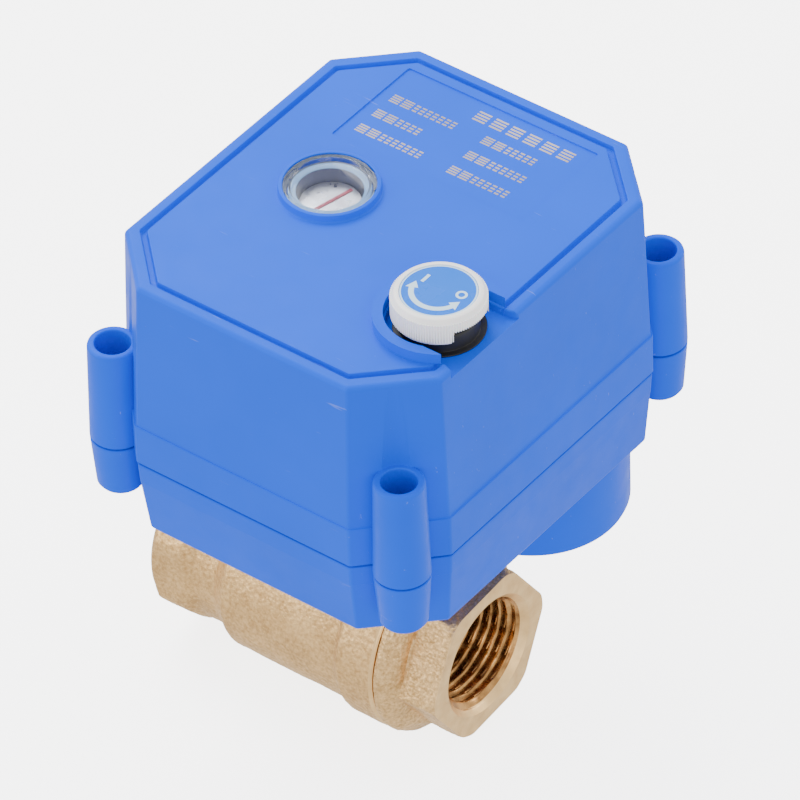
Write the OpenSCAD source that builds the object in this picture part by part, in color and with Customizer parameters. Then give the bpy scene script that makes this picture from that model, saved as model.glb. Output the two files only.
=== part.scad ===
// Motorized valve actuator on a two-way ball valve.
// The origin is the ball's centre: +X runs along the pipe to the outlet, +Z up the stem.

/* [Valve] */
// End-to-end length of the valve along the pipe
valve_l = 60; // [58:0.5:64]
// Radius of the cast barrel
barrel_r = 17; // [16.5:0.1:17.5]
// Radius of the wide band that takes the end cap
band_r = 18.05; // [17.8:0.05:18.5]
// Radius of the waist behind the inlet octagon
waist_r = 14.9; // [14:0.1:15.5]
// Width across flats of the inlet octagon
octagon_af = 31; // [30:0.1:32]
// Width across flats of the outlet hexagon
hexagon_af = 27.6; // [27:0.1:28]
// How far the screwed-in end cap is turned about the pipe, in degrees
cap_roll = 5; // [0:1:30]
// Crest radius of the internal pipe thread
thread_crest_r = 9.32; // [9.2:0.01:9.4]
// Depth of the pipe thread
thread_l = 14; // [12:0.5:15]
// Radius of the ball
ball_r = 11; // [10.5:0.1:11]
// Radius of the way through the ball
way_r = 7; // [5:0.1:7]
// Radius of the stem
stem_r = 4; // [3.5:0.1:4.2]

/* [Housing] */
// Height of the housing's underside above the pipe axis
base_z = 34.8; // [34:0.1:36]
// Distance from the stem to the middle of the housing
housing_x = 11; // [10:0.1:12]
// Height of the seam between base and cover, above the underside
seam_h = 15.4; // [14:0.1:16]
// Height of the cover's skirt line, above the underside
skirt_h = 23.8; // [22:0.1:24]
// Height of the cover's flat top, above the underside
top_h = 51.8; // [51:0.1:52.5]
// Wall thickness of base and cover
wall = 2.5; // [2.2:0.1:2.6]
// Lug centre from the housing's middle, along X
lug_x = 29.1; // [29:0.1:29.5]
// Lug centre from the housing's middle, along Y
lug_y = 35; // [34.8:0.1:35.2]
// Radius of the motor boss under the base
boss_r = 16.2; // [16:0.1:16.4]
// Depth of the motor boss below the underside
boss_depth = 14; // [13.5:0.1:14.5]

/* [Controls] */
// Outer radius of the override knob
knob_r = 7.8; // [7.7:0.1:8]
// How far the override knob pushes down
knob_travel = 2.2; // [1.8:0.1:2.2]
// Outer radius of the window's raised ring
ring_r = 8.45; // [8.4:0.05:8.6]
// Radius of the indicator dial
dial_r = 5.2; // [4.8:0.1:5.3]
// How far each limit switch's plunger moves in a quarter turn
plunger_travel = 1.005; // [0.8:0.005:1.005]

/* [Gears] */
// Module of the two slow meshes
slow_module = 0.6; // [0.6:0.01:0.6]
// Module of the two fast meshes
fast_module = 0.5; // [0.5:0.01:0.5]
// Teeth on the output gear
output_teeth = 54; // [54:1:54]
// Teeth on the motor pinion and on gear B's pinion
pinion_teeth = 10; // [10:1:10]
// Teeth on the wheels of gears B and C
wheel_teeth = 40; // [40:1:40]
// Teeth on gear C's pinion
last_pinion_teeth = 12; // [12:1:12]
// Teeth on the override idler
idler_teeth = 28; // [28:1:28]
// Teeth on the override gear
override_teeth = 16; // [16:1:16]
// Tooth play at the pitch circle
backlash = 0.14; // [0.12:0.01:0.18]

/* [Hidden] */
$fn = 64;

cast = [0.75, 0.66, 0.50];
blue = [0.26, 0.56, 0.94];
steel = [0.72, 0.73, 0.75];
black = [0.08, 0.08, 0.09];
resin = [0.93, 0.92, 0.88];
eps = 0.01;

// Valve
end_x = valve_l / 2;
cap_x = end_x - 11.1;
band_x = cap_x - 8.4;
spigot_r = 13.5;
spigot_x = 5.6;
cavity_r = ball_r + 0.6;
seat_r = 10.4;
seat_x = [5, 12];
ball_flat_z = 9.8;
stem_bore_z = 12.2;
gland_z = 22;
gland_r = 7;
neck_r = 10.5;
flange_r = 15;
flange_z = base_z - 4;
neck_screw_r = 11.6;
running = 0.05;
stem_top = 36;
square_z = 30.4;
square_w = 5.4;
tang_half_l = 4.3;
tang_half_w = 1.5;
collar_z = 10.5;
neck_screw_turns = [45 : 90 : 315];

// Housing, in row heights
seam_z = base_z + seam_h;
skirt_z = base_z + skirt_h;
top_z = base_z + top_h;
floor_z = base_z + 2.6;
ceiling_z = top_z - 2.4;
gap = 0.2;
recess_z = top_z - 1.5;
recess_r = 8.6;
recess_rim_r = 10.6;
recess_rim_depth = 0.45;
lug_top = base_z + 34.75;
lug_bottom = base_z + 4.9;
lug_relief_r = 4;
lug_seat_z = seam_z + 3.8;
motor_at = [housing_x + 15, 18.5];
knob_at = [housing_x + 23, -15.6];
mouth_half_w = 7.4;
plate_recess = [-8.6, 11.5, 38.7, 21];
plate_recess_depth = 0.3;
bush_top = 42;
bush_r = 8;

// Drive
plate_z = 68;
plate_t = 2;
level_1 = [plate_z + plate_t + 0.5, 3];
level_2 = [level_1[0] + level_1[1] + 0.5, 2.5];
level_3 = [level_2[0] + level_2[1] + 0.5, 2.5];
bridge_z = level_3[0] + level_3[1] + 0.7;
bridge_t = 1.2;
axle_r = 1;
shaft_r = 6.2;
spindle_r = 3.5;
pointer_r = 2;
dial_z = top_z - 3.1;
lens_z = top_z - 0.45;
lens_r = 7.7;
sleeve_r = 6.88;

// Distance between two gears in mesh
function mesh_distance(m, a, b) = m * (a + b) / 2;
// The corner of a triangle on the base p to q, at distances dp and dq, on the side given
function apex(p, q, dp, dq, side) =
    let (d = norm(q - p), along = (dp * dp + d * d - dq * dq) / (2 * d),
         away = sqrt(dp * dp - along * along), u = (q - p) / d)
    p + along * u + side * away * [-u[1], u[0]];
function heading(p, q) = atan2(q[1] - p[1], q[0] - p[0]);

gear_c_distance = mesh_distance(slow_module, output_teeth, last_pinion_teeth);
gear_c_at = gear_c_distance * [cos(8), sin(8)];
fast_distance = mesh_distance(fast_module, pinion_teeth, wheel_teeth);
gear_b_at = apex(gear_c_at, motor_at, fast_distance, fast_distance, 1);
idler_at = apex([0, 0], knob_at, mesh_distance(slow_module, output_teeth, idler_teeth),
                mesh_distance(slow_module, idler_teeth, override_teeth), -1);
post_at = [[3.5, 22.5], [32.5, 3]];
pillar_at = [[-11.5, 26.5], [9, 29], [-11.5, -26.5], [33.5, -26.5]];

// Turn that puts gear b's gaps on gear a's teeth, in degrees
function mesh_turn(pa, a_teeth, a_turn, pb, b_teeth) =
    let (line = heading(pa, pb), share = (line - a_turn) / (360 / a_teeth),
         part = share - floor(share))
    line + 180 - (0.5 - part) * 360 / b_teeth;
gear_c_turn = mesh_turn([0, 0], output_teeth, 0, gear_c_at, last_pinion_teeth);
gear_b_turn = mesh_turn(gear_c_at, wheel_teeth, 0, gear_b_at, pinion_teeth);
pinion_turn = mesh_turn(gear_b_at, wheel_teeth, 0, motor_at, pinion_teeth);
idler_turn = mesh_turn([0, 0], output_teeth, 0, idler_at, idler_teeth);
override_turn = mesh_turn(idler_at, idler_teeth, idler_turn, knob_at, override_teeth);

// Involute gear outlines
pressure = 20;
function involute(q) = q <= 1 ? 0 : sqrt(q * q - 1) * 180 / PI - acos(1 / q);
function half_tooth(m, teeth, r) =
    let (pitch = m * teeth / 2, base = pitch * cos(pressure),
         at_pitch = (PI * m / 2 - backlash) / (2 * pitch) * 180 / PI)
    at_pitch + involute(pitch / base) - involute(r / base) - max(0, base - r) / base * 25;
function tooth_radii(m, teeth, addendum) =
    let (pitch = m * teeth / 2, root = pitch - 1.25 * m, base = pitch * cos(pressure),
         tip = pitch + addendum * m)
    root < base - 0.1 ? [root, base, pitch, (pitch + tip) / 2, tip]
                      : [root, (root + pitch) / 2, pitch, (pitch + tip) / 2, tip];
module gear_outline(m, teeth, addendum = 0.9) {
    radii = tooth_radii(m, teeth, addendum);
    last = len(radii) - 1;
    polygon([for (i = [0 : teeth - 1], side = [-1, 1], k = [0 : last])
        let (r = radii[side < 0 ? k : last - k],
             a = i * 360 / teeth + side * half_tooth(m, teeth, r))
        r * [cos(a), sin(a)]]);
}
module gear(level, m, teeth, turn) {
    translate([0, 0, level[0]]) rotate(turn) linear_extrude(level[1]) gear_outline(m, teeth);
}

// Shared shapes
module at(p, z = 0) { translate([p[0], p[1], z]) children(); }
module along_x(x = 0) { translate([x, 0, 0]) rotate([0, 90, 0]) children(); }
module along_y(p) { translate(p) rotate([-90, 0, 0]) children(); }
module post(z0, z1, r) { translate([0, 0, z0]) cylinder(z1 - z0, r = r); }
module cone(z0, z1, r0, r1) { translate([0, 0, z0]) cylinder(z1 - z0, r1 = r0, r2 = r1); }
module tube(z0, z1, r_in, r_out) {
    difference() {
        post(z0, z1, r_out);
        post(z0 - 1, z1 + 1, r_in);
    }
}
module in_housing() { translate([housing_x, 0, 0]) children(); }
module octagon(x, y, cx, cy) {
    polygon([[x, y - cy], [x - cx, y], [cx - x, y], [-x, y - cy],
             [-x, cy - y], [cx - x, -y], [x - cx, -y], [x, cy - y]]);
}
module slab(z0, z1, x, y, cx, cy) {
    translate([0, 0, z0]) linear_extrude(z1 - z0) octagon(x, y, cx, cy);
}
module tapered(z0, low, z1, high) {
    hull() {
        slab(z0, z0 + eps, low[0], low[1], low[2], low[3]);
        slab(z1 - eps, z1, high[0], high[1], high[2], high[3]);
    }
}
module at_lugs() {
    in_housing() for (x = [-lug_x, lug_x], y = [-lug_y, lug_y]) at([x, y]) children();
}
module countersunk_screw(z_head, z_tip, r, head_r, head_h) {
    difference() {
        union() {
            post(z_tip, z_head + eps, r);
            post(z_head, z_head + head_h, head_r);
        }
        for (a = [0, 90]) rotate(a) translate([-head_r * 0.7, -0.3, z_head + head_h / 2])
            cube([head_r * 1.4, 0.6, head_h]);
    }
}

// ---- Valve ----

module valve_outline() {
    rotate_extrude() polygon([
        [0, 0.6 - end_x], [waist_r - 0.5, 0.6 - end_x], [waist_r, 1 - end_x],
        [waist_r, -16.2], [waist_r + 0.7, -15.2], [barrel_r - 0.3, -14.2], [barrel_r, -13.4],
        [barrel_r, band_x], [barrel_r + 0.6, band_x + 0.3], [band_r, band_x + 1],
        [band_r, cap_x - 0.3], [band_r - 0.3, cap_x], [0, cap_x]]);
}
module inlet_octagon() {
    corner_r = octagon_af / 2 / cos(22.5);
    intersection() {
        translate([0, 0, -end_x]) rotate(22.5) cylinder(8.4, r = corner_r, $fn = 8);
        rotate_extrude() polygon([[0, -end_x], [corner_r - 1.3, -end_x], [corner_r - 0.3, 1 - end_x],
            [corner_r - 0.3, 6.6 - end_x], [waist_r - 0.2, 8.4 - end_x], [0, 8.4 - end_x]]);
    }
}
module port_bore(mouth, inward) {
    // The crest bore of the thread, with the lead-in chamfer at its mouth
    along_x(min(mouth, mouth + inward * thread_l)) cylinder(thread_l, r = thread_crest_r);
    along_x(mouth) rotate([0, inward > 0 ? 0 : 180, 0])
        translate([0, 0, -eps]) cylinder(2, r1 = 11.3, r2 = thread_crest_r - eps);
}
module valve_body() {
    color(cast) difference() {
        union() {
            along_x() valve_outline();
            along_x() inlet_octagon();
            post(10, flange_z + eps, neck_r);
            post(flange_z, base_z, flange_r);
        }
        port_bore(-end_x, 1);
        along_x(-end_x + 1) cylinder(end_x, r = way_r);
        along_x(-seat_x[1]) cylinder(seat_x[1], r = seat_r);
        along_x(-seat_x[0]) cylinder(cap_x, r = cavity_r);
        along_x(spigot_x) cylinder(cap_x, r = spigot_r);
        along_x(cap_x - 1.6) cylinder(2, r = spigot_r + 1.6);
        post(0, stem_bore_z, stem_r + 1.6);
        post(0, base_z, stem_r + running);
        post(gland_z, base_z + 1, gland_r);
        for (a = neck_screw_turns) rotate(a) translate([neck_screw_r, 0, 0])
            post(flange_z - 0.8, base_z + 1, 1.25);
    }
}
module end_cap() {
    corner_r = hexagon_af / 2 / cos(30);
    color(cast) rotate([cap_roll, 0, 0]) difference() {
        union() {
            along_x(spigot_x + 0.2) cylinder(cap_x - spigot_x, r = spigot_r - eps);
            along_x() rotate_extrude() polygon([[0, cap_x], [band_r - 0.4, cap_x],
                [band_r - 0.1, cap_x + 0.5], [band_r - 0.1, cap_x + 1.6], [band_r - 0.8, cap_x + 2.5],
                [corner_r - 0.4, cap_x + 3.8], [0, cap_x + 3.8]]);
            intersection() {
                along_x(cap_x + 1) rotate(90) cylinder(end_x - cap_x - 1, r = corner_r, $fn = 6);
                along_x() rotate_extrude() polygon([[0, cap_x], [corner_r + 1, cap_x],
                    [corner_r + 1, end_x - 1.6], [corner_r - 0.7, end_x], [0, end_x]]);
            }
        }
        port_bore(end_x, -1);
        along_x(0) cylinder(end_x - 1, r = way_r);
        along_x(0) cylinder(seat_x[1], r = seat_r);
    }
}
module body_seal() {
    color(black) along_x(cap_x - 1.5) tube(0, 1.4, spigot_r + 0.02, spigot_r + 1.5);
}
module seat() {
    difference() {
        along_x(seat_x[0]) cylinder(seat_x[1] - seat_x[0] - 0.02, r = seat_r - 0.02);
        along_x(0) cylinder(end_x, r = way_r);
        sphere(ball_r + running);
    }
}
module inlet_seat() { color(resin) mirror([1, 0, 0]) seat(); }
module outlet_seat() { color(resin) seat(); }
module packing_ring() { color(resin) tube(gland_z, gland_z + 3, stem_r + 0.06, gland_r - 0.02); }
module gland_nut() {
    z = gland_z + 3.2;
    color(cast) difference() {
        tube(z, z + 5, stem_r + 0.08, gland_r - 0.02);
        translate([-8, -0.7, z + 3.6]) cube([16, 1.4, 3]);
    }
}

// ---- Housing ----

base_size = [33.2, 39.2, 11.5, 11.8];
base_foot = [32.5, 37.5, 10.8, 10.5];
groove_out = [29.7, 35.2, 9.9, 9.6];
groove_in = [28.7, 34.2, 9.5, 9.2];
groove_depth = 1;
groove_shift = [-0.7, 0.3, 0];
skirt_size = [33.35, 39.35, 11.5, 11.8];
cover_low = [33, 39.1, 11.4, 11.7];
cover_top = [32, 37.6, 10.8, 10.5];
cavity_low = [30.6, 36.6, 10.4, 10.6];
cavity_top = [29.4, 35, 9.7, 9.4];

module base_lug() {
    cone(lug_bottom, lug_bottom + 0.7, 3.5, 4.15);
    cone(lug_bottom + 0.7 - eps, seam_z - gap, 4.15, 4.75);
}
module base() {
    color(blue) difference() {
        union() {
            in_housing() difference() {
                union() {
                    tapered(base_z, base_foot, base_z + 11.2, [32.9, 38.9, 11.3, 11.6]);
                    slab(base_z + 11.2 - eps, seam_z - gap, base_size[0], base_size[1],
                         base_size[2], base_size[3]);
                }
                slab(floor_z, seam_z + 1, 29.5, 35, 9.8, 9.6);
            }
            at(motor_at) post(base_z - boss_depth, base_z + 1, boss_r);
            post(floor_z - eps, bush_top, 9.2);
            at_lugs() base_lug();
            for (p = board_post_at) at(p) post(floor_z - eps, board_z, 2.6);
        }
        at(motor_at) post(base_z - boss_depth + 2.4, seam_z, boss_r - 2.5);
        post(base_z - 1, bush_top + 1, bush_r);
        at_lugs() post(lug_bottom + 1.8, seam_z + 1, 1.4);
        for (a = neck_screw_turns) rotate(a) translate([neck_screw_r, 0, 0]) {
            post(base_z - 1, floor_z + 1, 1.6);
            post(floor_z, bush_top + 1, 2.3);
        }
        for (p = board_post_at) at(p) post(board_z - 6, board_z + 1, 1);
    }
}
module cover_gasket() {
    color(black) in_housing() difference() {
        slab(seam_z - gap, seam_z + gap, 32.4, 38.4, 11.2, 11.5);
        slab(seam_z - 1, seam_z + 1, 30.6, 36.6, 10.4, 10.6);
        for (x = [-lug_x, lug_x], y = [-lug_y, lug_y]) at([x, y]) post(seam_z - 1, seam_z + 1, 2.2);
    }
}
module recess(z0, z1, r, half_w) {
    // The round pocket under the knob, open towards the housing's +X face
    at(knob_at) {
        post(z0, z1, r);
        translate([4.5, -half_w, z0]) cube([12, 2 * half_w, z1 - z0]);
    }
}
module top_groove() {
    // The fine channel between the rim and the raised panel
    in_housing() translate(groove_shift) difference() {
        slab(top_z - groove_depth, top_z + 1, groove_out[0], groove_out[1], groove_out[2],
             groove_out[3]);
        slab(top_z - groove_depth - 1, top_z + 2, groove_in[0], groove_in[1], groove_in[2],
             groove_in[3]);
    }
}
module cover_shell() {
    difference() {
        union() {
            in_housing() tapered(skirt_z, cover_low, top_z, cover_top);
            in_housing() slab(seam_z + gap, skirt_z + eps, skirt_size[0], skirt_size[1],
                              skirt_size[2], skirt_size[3]);
            post(ceiling_z - 1, top_z + 1.4, ring_r);
            at_lugs() cone(seam_z + gap, lug_top, 4.75, 4.25);
        }
        difference() {
            in_housing() tapered(seam_z - 1, cavity_low, ceiling_z, cavity_top);
            recess(recess_z - 2, top_z, recess_r + 2, mouth_half_w + 2);
            along_y([gland_at[0], gland_pad_y, gland_at[1]]) cylinder(3, r = 8.2);
        }
    }
}
module top_cover() {
    color(blue) difference() {
        union() {
            cover_shell();
            at(knob_at) post(sleeve_z, recess_z, 4.2);
        }
        recess(recess_z, top_z + 1, recess_r, mouth_half_w);
        at(knob_at) cone(top_z - recess_rim_depth, top_z + eps, recess_rim_r - 0.8, recess_rim_r);
        top_groove();
        at(knob_at) post(sleeve_z - 1, top_z, knob_shaft_r + running);
        translate([plate_recess[0], plate_recess[1], top_z - plate_recess_depth])
            cube([plate_recess[2], plate_recess[3], 1]);
        post(ceiling_z - 2, top_z + 2, sleeve_r + 0.02);
        post(lens_z - 0.45, top_z + 2, lens_r + 0.02);
        at_lugs() {
            post(lug_seat_z, lug_top + 1, 3);
            post(lug_top, top_z + 1, lug_relief_r);
            post(seam_z - 1, lug_seat_z + 1, 1.6);
        }
        along_y([gland_at[0], gland_pad_y - 1, gland_at[1]]) cylinder(10, r = gland_bore_r);
    }
}
module cover_screws() {
    color(steel) at_lugs() countersunk_screw(lug_seat_z, lug_bottom + 3, 1.38, 2.6, 2.2);
}
module neck_screws() {
    color(steel) for (a = neck_screw_turns) rotate(a) translate([neck_screw_r, 0, 0])
        countersunk_screw(floor_z, flange_z, 1.23, 2.2, 1.6);
}
module shaft_bush() { color(cast) tube(base_z, bush_top, shaft_r + running, bush_r - 0.02); }

// ---- Window and override seal ----

module window_lens() {
    color([0.8, 0.9, 1, 0.35]) difference() {
        post(lens_z, top_z + 1.25, lens_r);
        post(top_z + 0.6, top_z + 2, 6.4);
    }
}
module window_o_ring() { color(black) tube(lens_z - 0.45, lens_z, 7.05, lens_r - 0.05); }
module window_sleeve() {
    color([0.62, 0.64, 0.80]) tube(dial_z - 1.1, lens_z - 0.02, dial_r + 0.4, sleeve_r);
}
module knob_seal() {
    color(black) at(knob_at) {
        tube(recess_z, recess_z + 3, 4.9, 6.55);
        tube(recess_z + 3 - eps, recess_z + 3.4, 4.9, 6.3);
    }
}

// ---- Cable entry ----

gland_at = [-4, 61];
gland_bore_r = 6;
gland_face_y = 39.5;
// Inner face of the pad that the lock nut clamps on, and the threaded tube's inner end
gland_pad_y = 33.9;
gland_in_y = 31;
cable_r = 3.2;
module gland_line(y, l, r, sides = $fn) {
    along_y([gland_at[0], y, gland_at[1]]) cylinder(l, r = r, $fn = sides);
}
module cable_gland() {
    // The threaded tube, the flange and the domed clamping nut are one moulding
    color(black) difference() {
        union() {
            gland_line(gland_in_y, gland_face_y - gland_in_y, gland_bore_r - 0.02);
            gland_line(gland_face_y - eps, 3, 8, 6);
            along_y([gland_at[0], gland_face_y + 3 - 2 * eps, gland_at[1]])
                cylinder(5, r1 = 6.9, r2 = 5.6);
        }
        gland_line(gland_in_y - 1, gland_face_y - gland_in_y + 2.5, 4.4);
        gland_line(gland_in_y - 1, 20, cable_r);
    }
}
module gland_lock_nut() {
    color(black) difference() {
        along_y([gland_at[0], gland_pad_y - 2.42, gland_at[1]]) rotate(30)
            cylinder(2.4, r = 7.5, $fn = 6);
        gland_line(gland_pad_y - 4, 6, gland_bore_r);
    }
}
module cable_grommet() {
    color([0.2, 0.2, 0.22]) difference() {
        gland_line(gland_face_y - 5.5, 6.9, 4.38);
        gland_line(gland_in_y, 20, cable_r);
    }
}

// ---- Electrics ----

board_z = 52;
board_t = 1.6;
board_post_at = [[-12, -18], [-12, 11], [16, -28.5], [34, -8]];
switch_face = 10.2;
cam_z = 56;
cam_h = 3.5;
plunger_z = cam_z + cam_h / 2;
module circuit_board() {
    color([0.1, 0.4, 0.2]) difference() {
        translate([0, 0, board_z]) linear_extrude(board_t) difference() {
            polygon([[-17, -22], [-10, -31], [31, -31], [38, -22], [38, 5], [12, 5], [8, 14],
                     [-17, 14]]);
            circle(r = 6.9);
            for (p = pillar_at) translate(p) circle(r = 3.4);
        }
        for (p = board_post_at) at(p) post(board_z - 1, board_z + 3, 1.2);
    }
}
module board_screws() {
    color(steel) for (p = board_post_at) at(p)
        countersunk_screw(board_z + board_t, board_z - 5, 0.98, 1.9, 1.2);
}
// A limit switch facing the cam along its own -Y, its plunger out or in at rest
module limit_switch() {
    difference() {
        translate([-6.4, -16.2, board_z + board_t]) cube([12.8, 16.2 - switch_face, 6.5]);
        along_y([0, -14.6, plunger_z]) cylinder(10, r = 0.85);
        for (x = [-3.2, 3.2]) along_y([x, -20, board_z + board_t + 1.6]) cylinder(20, r = 0.6);
    }
}
module plunger(tip) {
    along_y([0, -(tip + 4.6), plunger_z]) cylinder(3.8, r = 0.8);
    translate([0, -(tip + 0.8), plunger_z]) sphere(0.8);
}
cam_slope = plunger_travel / 90;
cam_r = 8.8;
tip_gap = 0.06;
module open_switch() { color(black) limit_switch(); }
module shut_switch() { color(black) rotate(-90) limit_switch(); }
module open_plunger() { color("firebrick") plunger(cam_r - plunger_travel + tip_gap); }
module shut_plunger() { color("firebrick") rotate(-90) plunger(cam_r + tip_gap); }
module capacitors() {
    color([0.15, 0.15, 0.3]) for (x = [9, 22]) at([x, -22]) {
        post(board_z + board_t, board_z + board_t + 11, 5);
        cone(board_z + board_t + 11 - eps, board_z + board_t + 11.6, 5, 4.4);
    }
}
module terminal_block() {
    color([0.2, 0.55, 0.3]) difference() {
        translate([-8.3, -29.5, board_z + board_t]) cube([12, 7, 8]);
        for (x = [-6, -2.3, 1.4]) {
            at([x, -26.5]) post(board_z + board_t + 5, board_z + 12, 1);
            along_y([x, -30, board_z + board_t + 2.5]) cylinder(5, r = 1);
        }
    }
}

// ---- Drive ----

module plate_pillars() {
    color(cast) for (p = pillar_at) at(p) difference() {
        translate([0, 0, floor_z]) cylinder(plate_z - floor_z, r = 2.9, $fn = 6);
        post(plate_z - 6, plate_z + 1, 1.2);
    }
}
module gear_plate() {
    color(steel) difference() {
        translate([0, 0, plate_z]) linear_extrude(plate_t) difference() {
            polygon([[-16, -24], [-9, -31], [31, -31], [38, -24], [38, 26], [32, 32], [-9, 32],
                     [-16, 26]]);
            for (p = pillar_at) translate(p) circle(r = 1.4);
            for (p = [gear_b_at, gear_c_at, idler_at, knob_at]) translate(p) circle(r = axle_r);
            for (p = post_at) translate(p) circle(r = 1.1);
            translate(motor_at) circle(r = 4);
            for (s = [-1, 1]) translate(motor_at + s * [8.5, 0]) circle(r = 1.3);
            translate([gland_at[0], 36]) square([18, 10], center = true);
        }
        post(plate_z - 1, plate_z + 3, spindle_r + running);
    }
}
module plate_screws() {
    color(steel) for (p = pillar_at) at(p)
        countersunk_screw(plate_z + plate_t, plate_z - 5, 1.18, 2.2, 1.5);
}
module bridge_posts() {
    color(cast) for (p = post_at) at(p) {
        post(plate_z + plate_t, bridge_z, 1.8);
        post(plate_z + 0.2, plate_z + plate_t + eps, 1.08);
        post(bridge_z - eps, bridge_z + bridge_t + 0.4, 1);
    }
}
module bar(p, q, r) {
    hull() {
        translate(p) circle(r = r, $fn = 32);
        translate(q) circle(r = r, $fn = 32);
    }
}
module axle_bridge() {
    color(steel) difference() {
        translate([0, 0, bridge_z]) linear_extrude(bridge_t) {
            bar(post_at[0], gear_b_at, 3);
            bar(gear_b_at, gear_c_at, 3);
            bar(gear_c_at, post_at[1], 3);
        }
        for (p = post_at) at(p) post(bridge_z - 1, bridge_z + 3, 1.02);
        for (p = [gear_b_at, gear_c_at]) at(p) post(bridge_z - 1, bridge_z + 3, axle_r);
    }
}
module gear_axles() {
    color(steel) {
        for (p = [gear_b_at, gear_c_at]) at(p) post(plate_z, bridge_z + bridge_t, axle_r - eps);
        at(idler_at) post(plate_z, level_1[0] + level_1[1] + 1.4, axle_r - eps);
        at(knob_at) post(plate_z, level_1[0] + 2, axle_r - eps);
    }
}
module motor() {
    color(steel) at(motor_at) difference() {
        union() {
            cone(motor_z, motor_z + 0.8, 11.2, 12);
            post(motor_z + 0.8 - eps, 53.4, 12);
        }
        for (a = [0, 180]) rotate(a) translate([7, 0, 0]) post(motor_z - 1, motor_z + 1.5, 1.2);
    }
}
motor_z = base_z - boss_depth + 2.4 + 1.2;
module motor_gearhead() {
    color([0.8, 0.78, 0.7]) at(motor_at) difference() {
        post(53.4, plate_z, 12);
        post(plate_z - 8, plate_z + 1, 1.1);
        for (s = [-1, 1]) translate([8.5 * s, 0, 0]) post(plate_z - 5, plate_z + 1, 1);
    }
}
module motor_cushion() { color(black) at(motor_at) tube(motor_z - 1.2, motor_z, 5, 13); }
module motor_screws() {
    color(steel) for (s = [-1, 1]) at(motor_at + s * [8.5, 0])
        countersunk_screw(plate_z + plate_t, plate_z - 4, 0.98, 1.9, 1.2);
}

// ---- Output train ----

module ball() {
    color([0.82, 0.82, 0.8]) difference() {
        sphere(ball_r);
        rotate([90, 0, 0]) cylinder(3 * ball_r, r = way_r, center = true);
        translate([-20, -20, ball_flat_z]) cube([40, 40, 20]);
        translate([-5, -tang_half_w - 0.1, 8]) cube([10, 2 * tang_half_w + 0.2, 5]);
    }
}
module valve_stem() {
    color(cast) difference() {
        union() {
            translate([-tang_half_l, -tang_half_w, 8.1])
                cube([2 * tang_half_l, 2 * tang_half_w, collar_z - 8.1 + eps]);
            post(collar_z, 11.4, stem_r + 1.4);
            post(11.4 - eps, square_z, stem_r);
            translate([-square_w / 2, -square_w / 2, square_z - eps])
                cube([square_w, square_w, stem_top - square_z]);
        }
        for (z = stem_ring_z) tube(z - 0.55, z + 0.55, 3, stem_r + 1);
    }
}
stem_ring_z = [15.5, 18.5];
module stem_o_rings() {
    color(black) for (z = stem_ring_z) translate([0, 0, z])
        rotate_extrude() translate([3.52, 0]) circle(r = 0.5, $fn = 32);
}
module stem_washer() { color(resin) tube(11.42, 12.15, stem_r + 0.02, stem_r + 1.4); }
module output_shaft() {
    color(steel) difference() {
        union() {
            post(31, 43, shaft_r);
            post(43 - eps, level_2[0] + 1, spindle_r);
            post(level_2[0] + 1 - eps, dial_z - 1.8, pointer_r);
            post(dial_z - 1.8 - eps, dial_z - 0.4, 0.98);
        }
        translate([-square_w / 2 - running, -square_w / 2 - running, 30])
            cube([square_w + 2 * running, square_w + 2 * running, stem_top - 30 + 0.2]);
    }
}
module output_gear() {
    color(resin) difference() {
        union() {
            gear(level_1, slow_module, output_teeth, 0);
            post(level_1[0] - 0.4, level_1[0] + level_1[1] + 1, 6);
        }
        post(0, 100, spindle_r + eps);
        for (a = [0 : 60 : 300]) rotate(a) translate([10.6, 0, 0]) post(60, 80, 2.8);
    }
}
// The cam's radius falls evenly on both sides of its high point at -X
function cam_radius(a) = cam_r - cam_slope * min(180 - abs(a), 100);
module limit_cam() {
    color("gold") difference() {
        union() {
            translate([0, 0, cam_z]) linear_extrude(cam_h)
                polygon([for (a = [-180 : 4 : 176]) cam_radius(a) * [cos(a), sin(a)]]);
            post(cam_z - 1.5, cam_z + cam_h + 1.5, 5.5);
        }
        post(0, 100, spindle_r + eps);
    }
}
module indicator_dial() {
    color("silver") difference() {
        union() {
            post(dial_z - 0.8, dial_z, dial_r);
            post(dial_z - 1.78, dial_z - 0.8 + eps, 2.4);
        }
        post(0, dial_z - 0.3, 1);
    }
}
module indicator_line() {
    color("crimson") rotate(-13) translate([-0.3, -4.6, dial_z]) cube([0.6, 9.2, 0.15]);
}
module motor_pinion() {
    color(steel) at(motor_at) {
        post(plate_z - 7.5, level_3[0] + level_3[1] + 0.3, 1);
        difference() {
            gear(level_3, fast_module, pinion_teeth, pinion_turn);
            post(60, 90, 0.99);
        }
        tube(level_1[0], level_3[0] + eps, 0.99, 1.7);
    }
}
module gear_b() {
    color(resin) at(gear_b_at) difference() {
        union() {
            gear(level_3, fast_module, wheel_teeth, 0);
            gear([level_2[0], level_3[0] - level_2[0] + eps], fast_module, pinion_teeth, gear_b_turn);
            post(plate_z + plate_t + 0.1, level_2[0] + eps, 1.75);
            post(level_3[0], bridge_z - 0.1, 2.2);
        }
        post(60, 90, axle_r + running);
        for (a = [0 : 72 : 288]) rotate(a) translate([6, 0, 0]) post(level_3[0] - 1, 90, 2.1);
    }
}
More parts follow.
